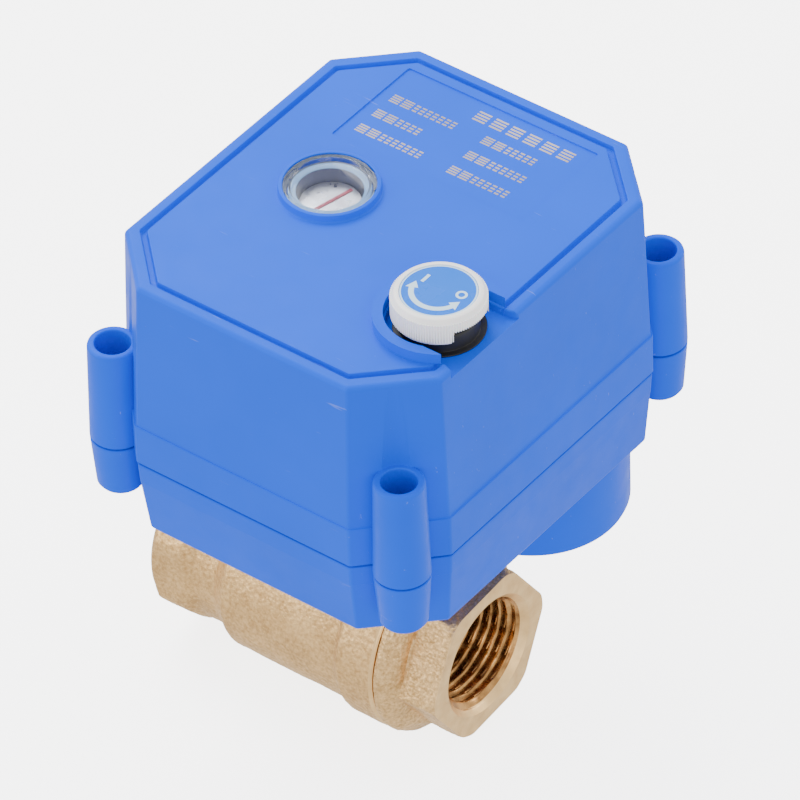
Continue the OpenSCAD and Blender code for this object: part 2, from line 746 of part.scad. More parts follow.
module gear_c() {
    color(resin) at(gear_c_at) difference() {
        union() {
            gear(level_2, fast_module, wheel_teeth, 0);
            gear([level_1[0], level_2[0] - level_1[0] + eps], slow_module, last_pinion_teeth,
                 gear_c_turn);
            post(plate_z + plate_t + 0.1, level_1[0] + eps, 1.9);
            post(level_2[0], level_2[0] + level_2[1] + 0.3, 2.2);
        }
        post(60, 90, axle_r + running);
        for (a = [0 : 72 : 288]) rotate(a) translate([6.6, 0, 0]) post(level_2[0] - 0.4, 90, 1.7);
    }
}
module idler_gear() {
    color(resin) at(idler_at) difference() {
        union() {
            gear(level_1, slow_module, idler_teeth, idler_turn);
            post(plate_z + plate_t + 0.1, level_1[0] + level_1[1] + 1, 3);
        }
        post(60, 90, axle_r + running);
    }
}

// ---- Override ----

knob_shaft_r = 2;
sleeve_z = recess_z - 4;
clip_z = sleeve_z - 0.7;
cup_z = [level_1[0] + level_1[1], 76.2];
cone_h = 2.3;
cone_gap = 0.12;
cup_floor_z = 73.5;
cup_floor_r = 2.5;
// The cup's radius grows half a millimetre for each millimetre up
function cup_radius(z) = cup_floor_r + (z - cup_floor_z) / 2;
module override_gear() {
    color(resin) at(knob_at) difference() {
        union() {
            gear(level_1, slow_module, override_teeth, override_turn);
            post(plate_z + plate_t + 0.1, level_1[0] + eps, 2.6);
            post(cup_z[0] - eps, cup_z[1], 4.7);
        }
        post(60, level_1[0] + 2.2, axle_r + running);
        cone(cup_floor_z, cup_z[1] + 0.2, cup_floor_r, cup_radius(cup_z[1] + 0.2));
    }
}
module knob_shaft() {
    tip = cup_floor_z + 0.1 + knob_travel;
    r_tip = cup_radius(tip - knob_travel) - cone_gap;
    color(steel) at(knob_at) difference() {
        union() {
            cone(tip, tip + cone_h, r_tip, r_tip + cone_h / 2);
            post(tip + cone_h - eps, knob_top - 1.3, knob_shaft_r);
        }
        post(knob_top - 7, knob_top, 0.8);
        tube(clip_z - 0.05, clip_z + 0.55, 1.5, 3);
    }
}
module shaft_clip() {
    color(steel) at(knob_at) difference() {
        tube(clip_z, clip_z + 0.5, 1.51, 3.4);
        translate([0, -1, clip_z - 1]) cube([5, 2, 3]);
    }
}
knob_top = base_z + 57.95;
skirt_bottom = base_z + 52.9;
module knob() {
    color("white") at(knob_at) difference() {
        union() {
            post(skirt_bottom, knob_top - 0.6, knob_r);
            cone(knob_top - 0.6 - eps, knob_top, knob_r, knob_r - 0.6);
            for (a = [0 : 6 : 354]) rotate(a) translate([knob_r, 0, 0])
                post(skirt_bottom + 0.5, knob_top - 1, 0.18, $fn = 16);
        }
        tube(skirt_bottom - 1, knob_top - 1.7, 3.1, knob_r - 1.1);
        post(0, knob_top - 1.3, knob_shaft_r + eps);
        post(0, knob_top + 1, 0.9);
        post(knob_top - 0.35, knob_top + 1, 6.36);
        post(knob_top - 1.1, knob_top + 1, 1.9);
        translate([2, -4.6, skirt_bottom - 1]) cube([12, 9.2, 3.4]);
    }
}
module knob_label() {
    color([0.24, 0.62, 1]) at(knob_at) post(knob_top - 0.35, knob_top - 0.15, 6.33);
}
module knob_screw() {
    color(steel) at(knob_at) countersunk_screw(knob_top - 1.1, knob_top - 6.5, 0.78, 1.7, 0.7);
}
module spring_washer() {
    color(steel) at(knob_at) tube(knob_top - 2.2, knob_top - 1.8, 3.2, 4.8);
}
// A coil of round wire, its ring centres on a helix
module coil(r, wire_r, height, turns) {
    sides = 6;
    steps = turns * 16;
    function place(i, j) =
        let (a = 360 * turns * i / steps, b = 360 * j / sides, q = r + wire_r * cos(b))
        [q * cos(a), q * sin(a), wire_r + (height - 2 * wire_r) * i / steps + wire_r * sin(b)];
    function ring(i, j) = i * sides + j % sides;
    polyhedron(
        [for (i = [0 : steps], j = [0 : sides - 1]) place(i, j)],
        concat([[for (j = [0 : sides - 1]) j]],
               [for (i = [0 : steps - 1], j = [0 : sides - 1])
                   [ring(i, j), ring(i + 1, j), ring(i + 1, j + 1), ring(i, j + 1)]],
               [[for (j = [sides - 1 : -1 : 0]) ring(steps, j)]]));
}
module knob_spring() {
    color(steel) at(knob_at, recess_z) coil(4.05, 0.3, knob_top - 2.2 - recess_z - eps, 3.5);
}

valve_body();
end_cap();
body_seal();
inlet_seat();
outlet_seat();
packing_ring();
gland_nut();
base();
cover_gasket();
top_cover();
cover_screws();
neck_screws();
shaft_bush();
window_lens();
window_o_ring();
window_sleeve();
knob_seal();
cable_gland();
gland_lock_nut();
cable_grommet();
circuit_board();
board_screws();
open_switch();
shut_switch();
capacitors();
terminal_block();
plate_pillars();
gear_plate();
plate_screws();
bridge_posts();
axle_bridge();
gear_axles();
motor();
motor_gearhead();
motor_cushion();
motor_screws();
ball();
valve_stem();
stem_o_rings();
stem_washer();
output_shaft();
output_gear();
limit_cam();
indicator_dial();
indicator_line();
motor_pinion();
gear_b();
gear_c();
idler_gear();
override_gear();
open_plunger();
shut_plunger();
knob_spring();
spring_washer();
knob();
knob_label();
knob_shaft();
shaft_clip();
knob_screw();
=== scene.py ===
"""Looks of a motorized valve actuator: a blue moulded housing on a cast brass ball valve.

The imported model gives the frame. The visible shells, castings, knob and window are built here in
millimetres and carried into the frame's metres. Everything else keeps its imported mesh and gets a
procedural finish.
"""

from __future__ import annotations

import logging
import math
from dataclasses import dataclass, field
from enum import Enum
from typing import Sequence

import bmesh
import bpy
import numpy as np
from mathutils import Matrix, Vector, noise

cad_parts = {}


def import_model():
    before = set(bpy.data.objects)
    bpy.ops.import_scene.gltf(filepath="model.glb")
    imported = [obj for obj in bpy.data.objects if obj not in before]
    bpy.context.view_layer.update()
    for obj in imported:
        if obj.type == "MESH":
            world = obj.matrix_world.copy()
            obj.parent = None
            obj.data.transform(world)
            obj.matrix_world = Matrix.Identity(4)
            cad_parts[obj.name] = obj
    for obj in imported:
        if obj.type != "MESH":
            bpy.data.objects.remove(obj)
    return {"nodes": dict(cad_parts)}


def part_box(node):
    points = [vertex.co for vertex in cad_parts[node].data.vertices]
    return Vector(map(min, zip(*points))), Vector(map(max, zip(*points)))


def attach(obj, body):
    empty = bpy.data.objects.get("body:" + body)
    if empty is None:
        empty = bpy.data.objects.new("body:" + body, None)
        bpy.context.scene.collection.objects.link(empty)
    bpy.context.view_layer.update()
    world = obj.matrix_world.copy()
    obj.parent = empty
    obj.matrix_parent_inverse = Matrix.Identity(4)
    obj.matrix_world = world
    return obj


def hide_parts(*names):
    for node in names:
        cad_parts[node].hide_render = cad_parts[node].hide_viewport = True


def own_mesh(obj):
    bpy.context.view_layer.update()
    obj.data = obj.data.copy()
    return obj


LOG = logging.getLogger("valve_actuator")
MM = 0.001

Colour = tuple[float, float, float]


# ---------------------------------------------------------------- frame


def corners(node: str) -> tuple[Vector, Vector]:
    """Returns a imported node's lowest and highest corners in millimetres."""
    low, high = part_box(node)
    return low / MM, high / MM


# ---------------------------------------------------------------- meshes


class Skin:
    """A mesh made of rings of points, each joined to the next by quads."""

    def __init__(self, wrap: bool = False) -> None:
        """Starts an empty skin.

        Args:
            wrap: Joins the last ring to the first, so the skin closes like a tube.
        """
        self.rings: list[np.ndarray] = []
        self.zones: list[int] = []
        self.wrap = wrap

    def ring(self, points: np.ndarray, zone: int = 0) -> None:
        """Adds one ring.

        Args:
            points: An n by 3 array in millimetres.
            zone: Material index of the quads that run from this ring to the next.
        """
        self.rings.append(np.asarray(points, float))
        self.zones.append(zone)

    def mesh(self, name: str) -> bpy.types.Mesh:
        """Joins the rings.

        Args:
            name: The mesh's name.

        Returns:
            A closed mesh in metres, its faces pointing outwards.
        """
        count, around = len(self.rings), len(self.rings[0])
        step = np.arange(around)
        after = (step + 1) % around
        quads, zones = [], []
        for i in range(count if self.wrap else count - 1):
            a, b = i * around, ((i + 1) % count) * around
            quads.append(np.stack([a + step, a + after, b + after, b + step], 1))
            zones += [self.zones[i]] * around
        faces = np.concatenate(quads).tolist()
        if not self.wrap:
            faces.append(list(range(around))[::-1])
            faces.append([(count - 1) * around + i for i in range(around)])
            zones += [self.zones[0], self.zones[-1]]
        mesh = bpy.data.meshes.new(name)
        mesh.from_pydata((np.concatenate(self.rings) * MM).tolist(), [], faces)
        mesh.polygons.foreach_set("material_index", zones)
        fix_normals(mesh)
        return mesh


def fix_normals(mesh: bpy.types.Mesh, merge: float = 1e-7) -> None:
    """Merges doubles, drops flat slivers and points every face outwards.

    Args:
        mesh: The mesh to mend.
        merge: Points closer than this, in metres, become one.
    """
    cage = bmesh.new()
    cage.from_mesh(mesh)
    bmesh.ops.remove_doubles(cage, verts=cage.verts, dist=merge)
    bmesh.ops.dissolve_degenerate(cage, dist=merge, edges=cage.edges)
    bmesh.ops.recalc_face_normals(cage, faces=cage.faces)
    cage.to_mesh(mesh)
    cage.free()


def new_object(name: str, mesh: bpy.types.Mesh) -> bpy.types.Object:
    """Links a mesh into the scene under a name.

    Args:
        name: The new object's name.
        mesh: Its mesh.

    Returns:
        The object, at the origin.
    """
    piece = bpy.data.objects.new(name, mesh)
    bpy.context.scene.collection.objects.link(piece)
    return piece


def smooth(mesh: bpy.types.Mesh, angle: float = 32.0) -> None:
    """Shades a mesh smooth but for its edges sharper than an angle in degrees."""
    mesh.polygons.foreach_set("use_smooth", [True] * len(mesh.polygons))
    mesh.set_sharp_from_angle(angle=math.radians(angle))


def bake_modifiers(piece: bpy.types.Object) -> None:
    """Turns a piece and its modifiers into one plain mesh.

    Args:
        piece: The object, left with no modifier.
    """
    graph = bpy.context.evaluated_depsgraph_get()
    graph.update()
    mesh = bpy.data.meshes.new_from_object(piece.evaluated_get(graph))
    piece.modifiers.clear()
    old, piece.data = piece.data, mesh
    bpy.data.meshes.remove(old)


def circle(radius: float, around: int, start: float = 0.0) -> np.ndarray:
    """Returns points on a circle about Z, as an n by 2 array."""
    turn = start + np.linspace(0, 2 * math.pi, around, endpoint=False)
    return np.stack([radius * np.cos(turn), radius * np.sin(turn)], 1)


def lathe(
    name: str,
    profile: Sequence[tuple[float, float]],
    centre: tuple[float, float] = (0.0, 0.0),
    around: int = 96,
    zones: Sequence[int] | None = None,
) -> bpy.types.Mesh:
    """Turns a closed outline about a vertical axis.

    Args:
        name: The mesh's name.
        profile: Points (radius, height) of a closed outline that stays off the axis, or an open
            one whose two ends lie on flat discs.
        centre: The axis, as x and y.
        around: Steps around the axis.
        zones: A material index for each point's run to the next.

    Returns:
        The mesh, in metres.
    """
    on_axis = profile[0][0] < 1e-6
    skin = Skin(wrap=not on_axis)
    for i, (radius, height) in enumerate(profile):
        flat = circle(max(radius, 1e-3), around) + np.array(centre)
        zone = zones[i] if zones else 0
        skin.ring(np.column_stack([flat, np.full(around, height)]), zone)
    return skin.mesh(name)


def rounded_path(
    points: Sequence[tuple[float, float]], radii: Sequence[float], steps: int = 4
) -> list[tuple[float, float]]:
    """Rounds the corners of a path.

    Args:
        points: The corners.
        radii: The radius at each corner, 0 for none.
        steps: Points along each round.

    Returns:
        The path with arcs at its corners.
    """
    path: list[tuple[float, float]] = []
    count = len(points)
    for i, (corner, radius) in enumerate(zip(points, radii)):
        here = Vector(corner)
        before, after = Vector(points[i - 1]) - here, Vector(points[(i + 1) % count]) - here
        if radius <= 0 or before.length < 1e-6 or after.length < 1e-6:
            path.append(tuple(here))
            continue
        half = before.angle(after, math.pi) / 2
        if half > math.radians(88):
            path.append(tuple(here))
            continue
        reach = min(radius / math.tan(half), before.length * 0.49, after.length * 0.49)
        first, last = here + before.normalized() * reach, here + after.normalized() * reach
        for k in range(steps + 1):
            t = k / steps
            path.append(tuple(first * (1 - t) ** 2 + here * 2 * t * (1 - t) + last * t * t))
    return path


# ---------------------------------------------------------------- finishes


class Kit:
    """Adds nodes to a material's tree and links them."""

    def __init__(self, material: bpy.types.Material) -> None:
        """Empties the tree and starts it with a shader and its output.

        Args:
            material: The new material.
        """
        material.use_nodes = True
        self.tree = material.node_tree
        self.tree.nodes.clear()
        self.output = self.tree.nodes.new("ShaderNodeOutputMaterial")
        self.shader = self.tree.nodes.new("ShaderNodeBsdfPrincipled")
        self.tree.links.new(self.shader.outputs[0], self.output.inputs[0])
        self.place = self.tree.nodes.new("ShaderNodeTexCoord").outputs["Object"]

    def add(self, kind: str, inputs: dict[str, object], **settings: object) -> bpy.types.Node:
        """Adds a node.

        Args:
            kind: Its type, without the ShaderNode prefix.
            inputs: Values or sockets for its inputs, by name or number.
            **settings: Its own properties.

        Returns:
            The node.
        """
        made = self.tree.nodes.new("ShaderNode" + kind)
        for key, value in settings.items():
            setattr(made, key, value)
        for key, value in inputs.items():
            self.feed(made.inputs[key], value)
        return made

    def feed(self, socket: bpy.types.NodeSocket, value: object) -> None:
        """Links a socket to another, or sets its value."""
        if isinstance(value, bpy.types.NodeSocket):
            self.tree.links.new(value, socket)
        else:
            socket.default_value = value

    def noise(self, scale: float, detail: float = 3.0, rough: float = 0.55,
              place: object = None) -> bpy.types.NodeSocket:
        """Returns noise with a feature size of about one over scale, in metres."""
        made = self.add("TexNoise", {"Vector": place or self.place, "Scale": scale,
                                     "Detail": detail, "Roughness": rough})
        return made.outputs[0]

    def ramp(self, value: object, low: float, high: float, to_low: float = 0.0,
             to_high: float = 1.0) -> bpy.types.NodeSocket:
        """Returns a value carried from one range to another, held at both ends."""
        made = self.add("MapRange", {"Value": value, "From Min": low, "From Max": high,
                                     "To Min": to_low, "To Max": to_high})
        return made.outputs[0]

    def blend(self, share: object, first: object, second: object) -> bpy.types.NodeSocket:
        """Mixes two colours.

        Args:
            share: 0 for the first colour, 1 for the second.
            first: The first colour.
            second: The second colour.

        Returns:
            The mixed colour.
        """
        made = self.add("Mix", {}, data_type="RGBA")
        self.feed(made.inputs[0], share)
        self.feed(made.inputs[6], first)
        self.feed(made.inputs[7], second)
        return made.outputs[2]

    def maths(self, kind: str, first: object, second: object = 0.0) -> bpy.types.NodeSocket:
        """Returns the result of one sum."""
        return self.add("Math", {0: first, 1: second}, operation=kind).outputs[0]

    def bumps(self, layers: Sequence[tuple[object, float]]) -> bpy.types.NodeSocket:
        """Returns a normal raised by several heights.

        Args:
            layers: Each a height from 0 to 1 and its depth in millimetres.
        """
        normal: bpy.types.NodeSocket | None = None
        for height, depth in layers:
            inputs = {"Height": height, "Distance": depth * MM, "Strength": 1.0}
            made = self.add("Bump", inputs)
            if normal is not None:
                self.feed(made.inputs["Normal"], normal)
            normal = made.outputs[0]
        return normal


def rgba(colour: Colour, gain: float = 1.0) -> tuple[float, float, float, float]:
    """Returns a colour with its alpha, each channel scaled by a gain and held under 1."""
    return tuple(min(1.0, channel * gain) for channel in colour) + (1.0,)


@dataclass(frozen=True)
class Finish:
    """A procedural finish, known by its name."""

    name: str

    @property
    def title(self) -> str:
        """The material's name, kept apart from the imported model's own."""
        return "finish_" + self.name

    def build(self) -> bpy.types.Material:
        """Returns the material; each kind of finish makes its own."""
        raise NotImplementedError


@dataclass(frozen=True)
class Moulded(Finish):
    """A moulded plastic or rubber, with grain, sink waves, specks and light scuffs."""

    colour: Colour
    roughness: float = 0.4
    variation: float = 0.05
    grain_depth: float = 0.012
    grain_scale: float = 3200.0
    wave_depth: float = 0.05
    specks: float = 0.0
    coat: float = 0.0
    subsurface: float = 0.0
    specular: float = 0.5
    sheen: Colour = (1.0, 1.0, 1.0)

    def build(self) -> bpy.types.Material:
        """Returns the material."""
        material = bpy.data.materials.new(self.title)
        kit = Kit(material)
        cloud = kit.ramp(kit.noise(45.0, 2.0), 0.35, 0.65)
        colour = kit.blend(cloud, rgba(self.colour, 1 - self.variation),
                           rgba(self.colour, 1 + self.variation))
        if self.specks:
            dust = kit.ramp(kit.noise(2300.0, 2.0, 0.7), 0.775, 0.80)
            pale = tuple(c * 0.45 + 0.45 for c in self.colour)
            colour = kit.blend(kit.maths("MULTIPLY", dust, self.specks), colour, rgba(pale))
            stretch = kit.add("Mapping", {"Vector": kit.place, "Rotation": (0.3, 0.9, 0.5),
                                          "Scale": (90.0, 1500.0, 700.0)}).outputs[0]
            scuff = kit.ramp(kit.noise(1.0, 3.0, 0.6, stretch), 0.70, 0.76)
            colour = kit.blend(kit.maths("MULTIPLY", scuff, self.specks * 0.5), colour, rgba(pale))
        grain = kit.noise(self.grain_scale, 3.0)
        wave = kit.noise(80.0, 1.0)
        rough = kit.ramp(kit.noise(220.0, 3.0), 0.3, 0.7, self.roughness - 0.05,
                         self.roughness + 0.07)
        shader = kit.shader
        kit.feed(shader.inputs["Base Color"], colour)
        kit.feed(shader.inputs["Roughness"], rough)
        shader.inputs["Coat Weight"].default_value = self.coat
        shader.inputs["Coat Roughness"].default_value = 0.25
        shader.inputs["Subsurface Weight"].default_value = self.subsurface
        shader.inputs["Subsurface Scale"].default_value = 0.6 * MM
        shader.inputs["Specular IOR Level"].default_value = self.specular
        shader.inputs["Specular Tint"].default_value = rgba(self.sheen)
        kit.feed(shader.inputs["Normal"],
                 kit.bumps([(wave, self.wave_depth), (grain, self.grain_depth)]))
        return material


@dataclass(frozen=True)
class CastMetal(Finish):
    """A sand-cast metal: bright grains, dull hollows and a pitted skin."""

    bright: Colour
    dull: Colour
    grain_scale: float = 1500.0
    grain_depth: float = 0.09
    roughness: float = 0.42
    metallic: float = 0.85

    def build(self) -> bpy.types.Material:
        """Returns the material."""
        material = bpy.data.materials.new(self.title)
        kit = Kit(material)
        grain = kit.noise(self.grain_scale, 4.0, 0.62)
        cells = kit.add("TexVoronoi", {"Vector": kit.place, "Scale": self.grain_scale * 0.9,
                                       "Randomness": 1.0}).outputs["Distance"]
        patch = kit.noise(170.0, 3.0)
        share = kit.ramp(kit.maths("ADD", kit.maths("MULTIPLY", grain, 0.7),
                                   kit.maths("MULTIPLY", patch, 0.3)), 0.38, 0.62)
        colour = kit.blend(share, rgba(self.dull), rgba(self.bright))
        spark = kit.ramp(kit.noise(self.grain_scale * 1.9, 1.0), 0.66, 0.74)
        colour = kit.blend(kit.maths("MULTIPLY", spark, 0.55), colour, rgba(self.bright, 1.35))
        kit.feed(kit.shader.inputs["Base Color"], colour)
        kit.feed(kit.shader.inputs["Roughness"],
                 kit.ramp(grain, 0.3, 0.7, self.roughness + 0.12, self.roughness - 0.1))
        kit.shader.inputs["Metallic"].default_value = self.metallic
        kit.feed(kit.shader.inputs["Normal"], kit.bumps(
            [(kit.noise(260.0, 2.0), 0.10), (cells, self.grain_depth), (grain, self.grain_depth)]))
        return material


class Axis(Enum):
    """The line that a turned surface's tool marks run around."""

    PIPE = (0, 90)
    STEM = (0, 0)


@dataclass(frozen=True)
class Turned(Finish):
    """A machined metal with fine tool rings about an axis and slight staining; on the thread the
    darker colours are painted shade.
    """

    colour: Colour
    roughness: float = 0.3
    stain_and_shade: Colour | None = None
    ring_pitch: float = 0.16
    ring_depth: float = 0.008
    axis: Axis = Axis.STEM
    metallic: float = 1.0

    def build(self) -> bpy.types.Material:
        """Returns the material."""
        material = bpy.data.materials.new(self.title)
        kit = Kit(material)
        tilt = math.radians(self.axis.value[1])
        turned = kit.add("Mapping", {"Vector": kit.place, "Rotation": (0.0, tilt, 0.0)})
        parts = kit.add("SeparateXYZ", {"Vector": turned.outputs[0]})
        square = kit.maths("ADD", kit.maths("MULTIPLY", parts.outputs[0], parts.outputs[0]),
                           kit.maths("MULTIPLY", parts.outputs[1], parts.outputs[1]))
        radius = kit.maths("SQRT", square)
        rings = kit.maths("SINE", kit.maths("MULTIPLY", radius, 2 * math.pi / self.ring_pitch / MM))
        rings = kit.ramp(rings, -1.0, 1.0)
        patch = kit.ramp(kit.noise(300.0, 4.0), 0.35, 0.7)
        # Darker patches: real staining on faced brass and dial, painted shade on the thread.
        dark = self.stain_and_shade or tuple(c * 0.8 for c in self.colour)
        kit.feed(kit.shader.inputs["Base Color"], kit.blend(patch, rgba(self.colour), rgba(dark)))
        kit.feed(kit.shader.inputs["Roughness"],
                 kit.ramp(kit.noise(900.0, 3.0), 0.3, 0.7, self.roughness - 0.08,
                          self.roughness + 0.12))
        kit.shader.inputs["Metallic"].default_value = self.metallic
        kit.feed(kit.shader.inputs["Normal"],
                 kit.bumps([(rings, self.ring_depth), (kit.noise(2500.0, 2.0), 0.004)]))
        return material


@dataclass(frozen=True)
class Clear(Finish):
    """A clear moulding with faint haze and flow lines."""

    tint: Colour = (0.93, 0.97, 1.0)
    roughness: float = 0.03

    def build(self) -> bpy.types.Material:
        """Returns the material."""
        material = bpy.data.materials.new(self.title)
        kit = Kit(material)
        haze = kit.noise(350.0, 2.0)
        kit.feed(kit.shader.inputs["Base Color"],
                 kit.blend(kit.ramp(haze, 0.4, 0.6), rgba(self.tint, 0.97), rgba(self.tint)))
        kit.feed(kit.shader.inputs["Roughness"],
                 kit.ramp(haze, 0.3, 0.7, self.roughness, self.roughness + 0.05))
        kit.shader.inputs["Transmission Weight"].default_value = 1.0
        kit.shader.inputs["IOR"].default_value = 1.33
        kit.feed(kit.shader.inputs["Normal"], kit.bumps([(kit.noise(120.0, 1.0), 0.003)]))
        return material


class Look(Enum):
    """Every finish on the object."""

    HOUSING = Moulded("housing_blue", (0.0, 0.087, 0.80), 0.38, 0.03, 0.010, 3200.0, 0.04,
                      specks=0.4, specular=0.20, sheen=(0.06, 0.30, 1.0))
    KNOB = Moulded("knob_white", (0.97, 0.97, 0.98), 0.34, 0.015, 0.008, 2600.0, 0.03,
                   subsurface=0.15)
    LABEL = Moulded("label_blue", (0.0, 0.155, 0.80), 0.25, 0.03, 0.003, 2400.0, 0.02,
                    specks=0.3, specular=0.35, sheen=(0.15, 0.5, 1.0))
    LABEL_MARK = Moulded("label_mark", (0.55, 0.80, 1.0), 0.3, 0.05, 0.004)
    ETCHED = Moulded("etched_mark", (0.40, 0.35, 0.30), 0.5, 0.25, 0.02, 2600.0)
    RUBBER = Moulded("black_rubber", (0.008, 0.008, 0.009), 0.48, 0.15, 0.015, 1800.0, 0.05,
                     specks=0.05)
    NYLON = Moulded("gland_nylon", (0.022, 0.022, 0.025), 0.42, 0.12, 0.016, 2200.0, specks=0.06)
    SWITCH = Moulded("switch_black", (0.03, 0.03, 0.033), 0.38, 0.1)
    PLUNGER = Moulded("plunger_red", (0.50, 0.05, 0.04), 0.32, 0.06)
    ACETAL = Moulded("gear_acetal", (0.80, 0.77, 0.69), 0.36, 0.05, 0.006, subsurface=0.2)
    PTFE = Moulded("seat_ptfe", (0.88, 0.88, 0.86), 0.45, 0.03, 0.006, subsurface=0.2)
    # Violet sleeve, its colour made darker as painted shade for the inside of the window.
    SLEEVE = Moulded("violet_sleeve", (0.09, 0.11, 0.27), 0.3, 0.15, 0.02, 900.0, coat=0.3)
    SLEEVE_RIM = Moulded("sleeve_rim", (0.30, 0.55, 0.90), 0.3, 0.05, 0.004)
    SILICONE = Moulded("ring_silicone", (0.22, 0.26, 0.36), 0.35, 0.1, 0.006)
    BOARD = Moulded("board_green", (0.012, 0.12, 0.045), 0.3, 0.25, 0.01, 700.0, coat=0.4)
    CAPACITOR = Moulded("capacitor_sleeve", (0.02, 0.025, 0.09), 0.28, 0.08, coat=0.3)
    TERMINAL = Moulded("terminal_green", (0.02, 0.28, 0.09), 0.4, 0.08)
    LINE = Moulded("red_line", (0.66, 0.10, 0.16), 0.4, 0.1, 0.003)
    CAST = CastMetal("cast_brass", (0.84, 0.54, 0.23), (0.54, 0.32, 0.12), roughness=0.46)
    CAP_CAST = CastMetal("cap_cast_brass", (0.86, 0.56, 0.25), (0.50, 0.30, 0.11), 1700.0, 0.10,
                         0.44)
    FACED = Turned("faced_brass", (0.92, 0.62, 0.29), 0.36, (0.74, 0.47, 0.20), axis=Axis.PIPE)
    # Thread brass: its dark brown and near-black patches are painted shade for the inside of the port.
    THREAD = Turned("thread_brass_painted_shade", (0.66, 0.35, 0.12), 0.22, (0.20, 0.09, 0.03), 0.3, 0.004,
                    Axis.PIPE)
    BRASS = Turned("turned_brass", (0.83, 0.64, 0.34), 0.28)
    STEEL = Turned("zinc_steel", (0.68, 0.70, 0.73), 0.3)
    MOTOR = Turned("motor_can", (0.60, 0.62, 0.64), 0.36, ring_pitch=0.4)
    CHROME = Turned("chrome_ball", (0.80, 0.81, 0.82), 0.1, ring_depth=0.002)
    DIAL = Turned("silver_dial", (0.80, 0.79, 0.84), 0.32, (0.66, 0.62, 0.68), 0.22, 0.002)
    LENS = Clear("clear_lens")

    @property
    def material(self) -> bpy.types.Material:
        """The finish's material, made when first asked for."""
        found = bpy.data.materials.get(self.value.title)
        return found or self.value.build()


PACKED_LOOKS: dict[Look, tuple[str, ...]] = {
    Look.RUBBER: ("body_seal", "cover_gasket", "cable_grommet", "motor_cushion",
                  "stem_o_rings", "knob_seal"),
    Look.PTFE: ("inlet_seat", "outlet_seat", "packing_ring", "stem_washer"),
    Look.BRASS: ("gland_nut", "shaft_bush", "plate_pillars", "bridge_posts", "valve_stem",
                 "limit_cam"),
    Look.STEEL: ("cover_screws", "neck_screws", "board_screws", "gear_plate", "plate_screws",
                 "axle_bridge", "gear_axles", "motor_screws", "output_shaft", "motor_pinion",
                 "spring_washer", "knob_spring", "knob_shaft", "shaft_clip", "knob_screw"),
    Look.MOTOR: ("motor",),
    Look.ACETAL: ("output_gear", "gear_b", "gear_c", "idler_gear", "override_gear",
                  "motor_gearhead"),
    Look.SILICONE: ("window_o_ring",),
    Look.NYLON: ("gland_lock_nut", "cable_gland"),
    Look.BOARD: ("circuit_board",),
    Look.SWITCH: ("open_switch", "shut_switch"),
    Look.PLUNGER: ("open_plunger", "shut_plunger"),
    Look.CAPACITOR: ("capacitors",),
    Look.TERMINAL: ("terminal_block",),
    Look.CHROME: ("ball",),
    Look.DIAL: ("indicator_dial",),
    Look.SLEEVE: ("window_sleeve",),
    Look.LINE: ("indicator_line",),
    Look.HOUSING: ("base", "top_cover"),
    Look.CAST: ("valve_body", "end_cap"),
    Look.KNOB: ("knob",),
    Look.LABEL: ("knob_label",),
    Look.LENS: ("window_lens",),
}


def dress(piece: bpy.types.Object, *looks: Look) -> None:
    """Gives a piece its materials, keeping its zones, which clearing the list would reset.

    Args:
        piece: The object to dress.
        *looks: One finish for each of its zones.
    """
    faces = piece.data.polygons
    zones = [0] * len(faces)
    if len(looks) > 1:
        faces.foreach_get("material_index", zones)
    piece.data.materials.clear()
    for look in looks:
        piece.data.materials.append(look.material)
    faces.foreach_set("material_index", zones)


def settle(piece: bpy.types.Object, body: str, slot: str, *nodes: str) -> None:
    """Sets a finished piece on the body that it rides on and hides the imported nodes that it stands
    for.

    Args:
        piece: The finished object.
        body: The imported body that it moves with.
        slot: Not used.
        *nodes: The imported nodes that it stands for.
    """
    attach(piece, body)
    if nodes:
        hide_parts(*nodes)
    LOG.info("%s rides on %s, %d faces", piece.name, body, len(piece.data.polygons))


# ---------------------------------------------------------------- repeated shapes


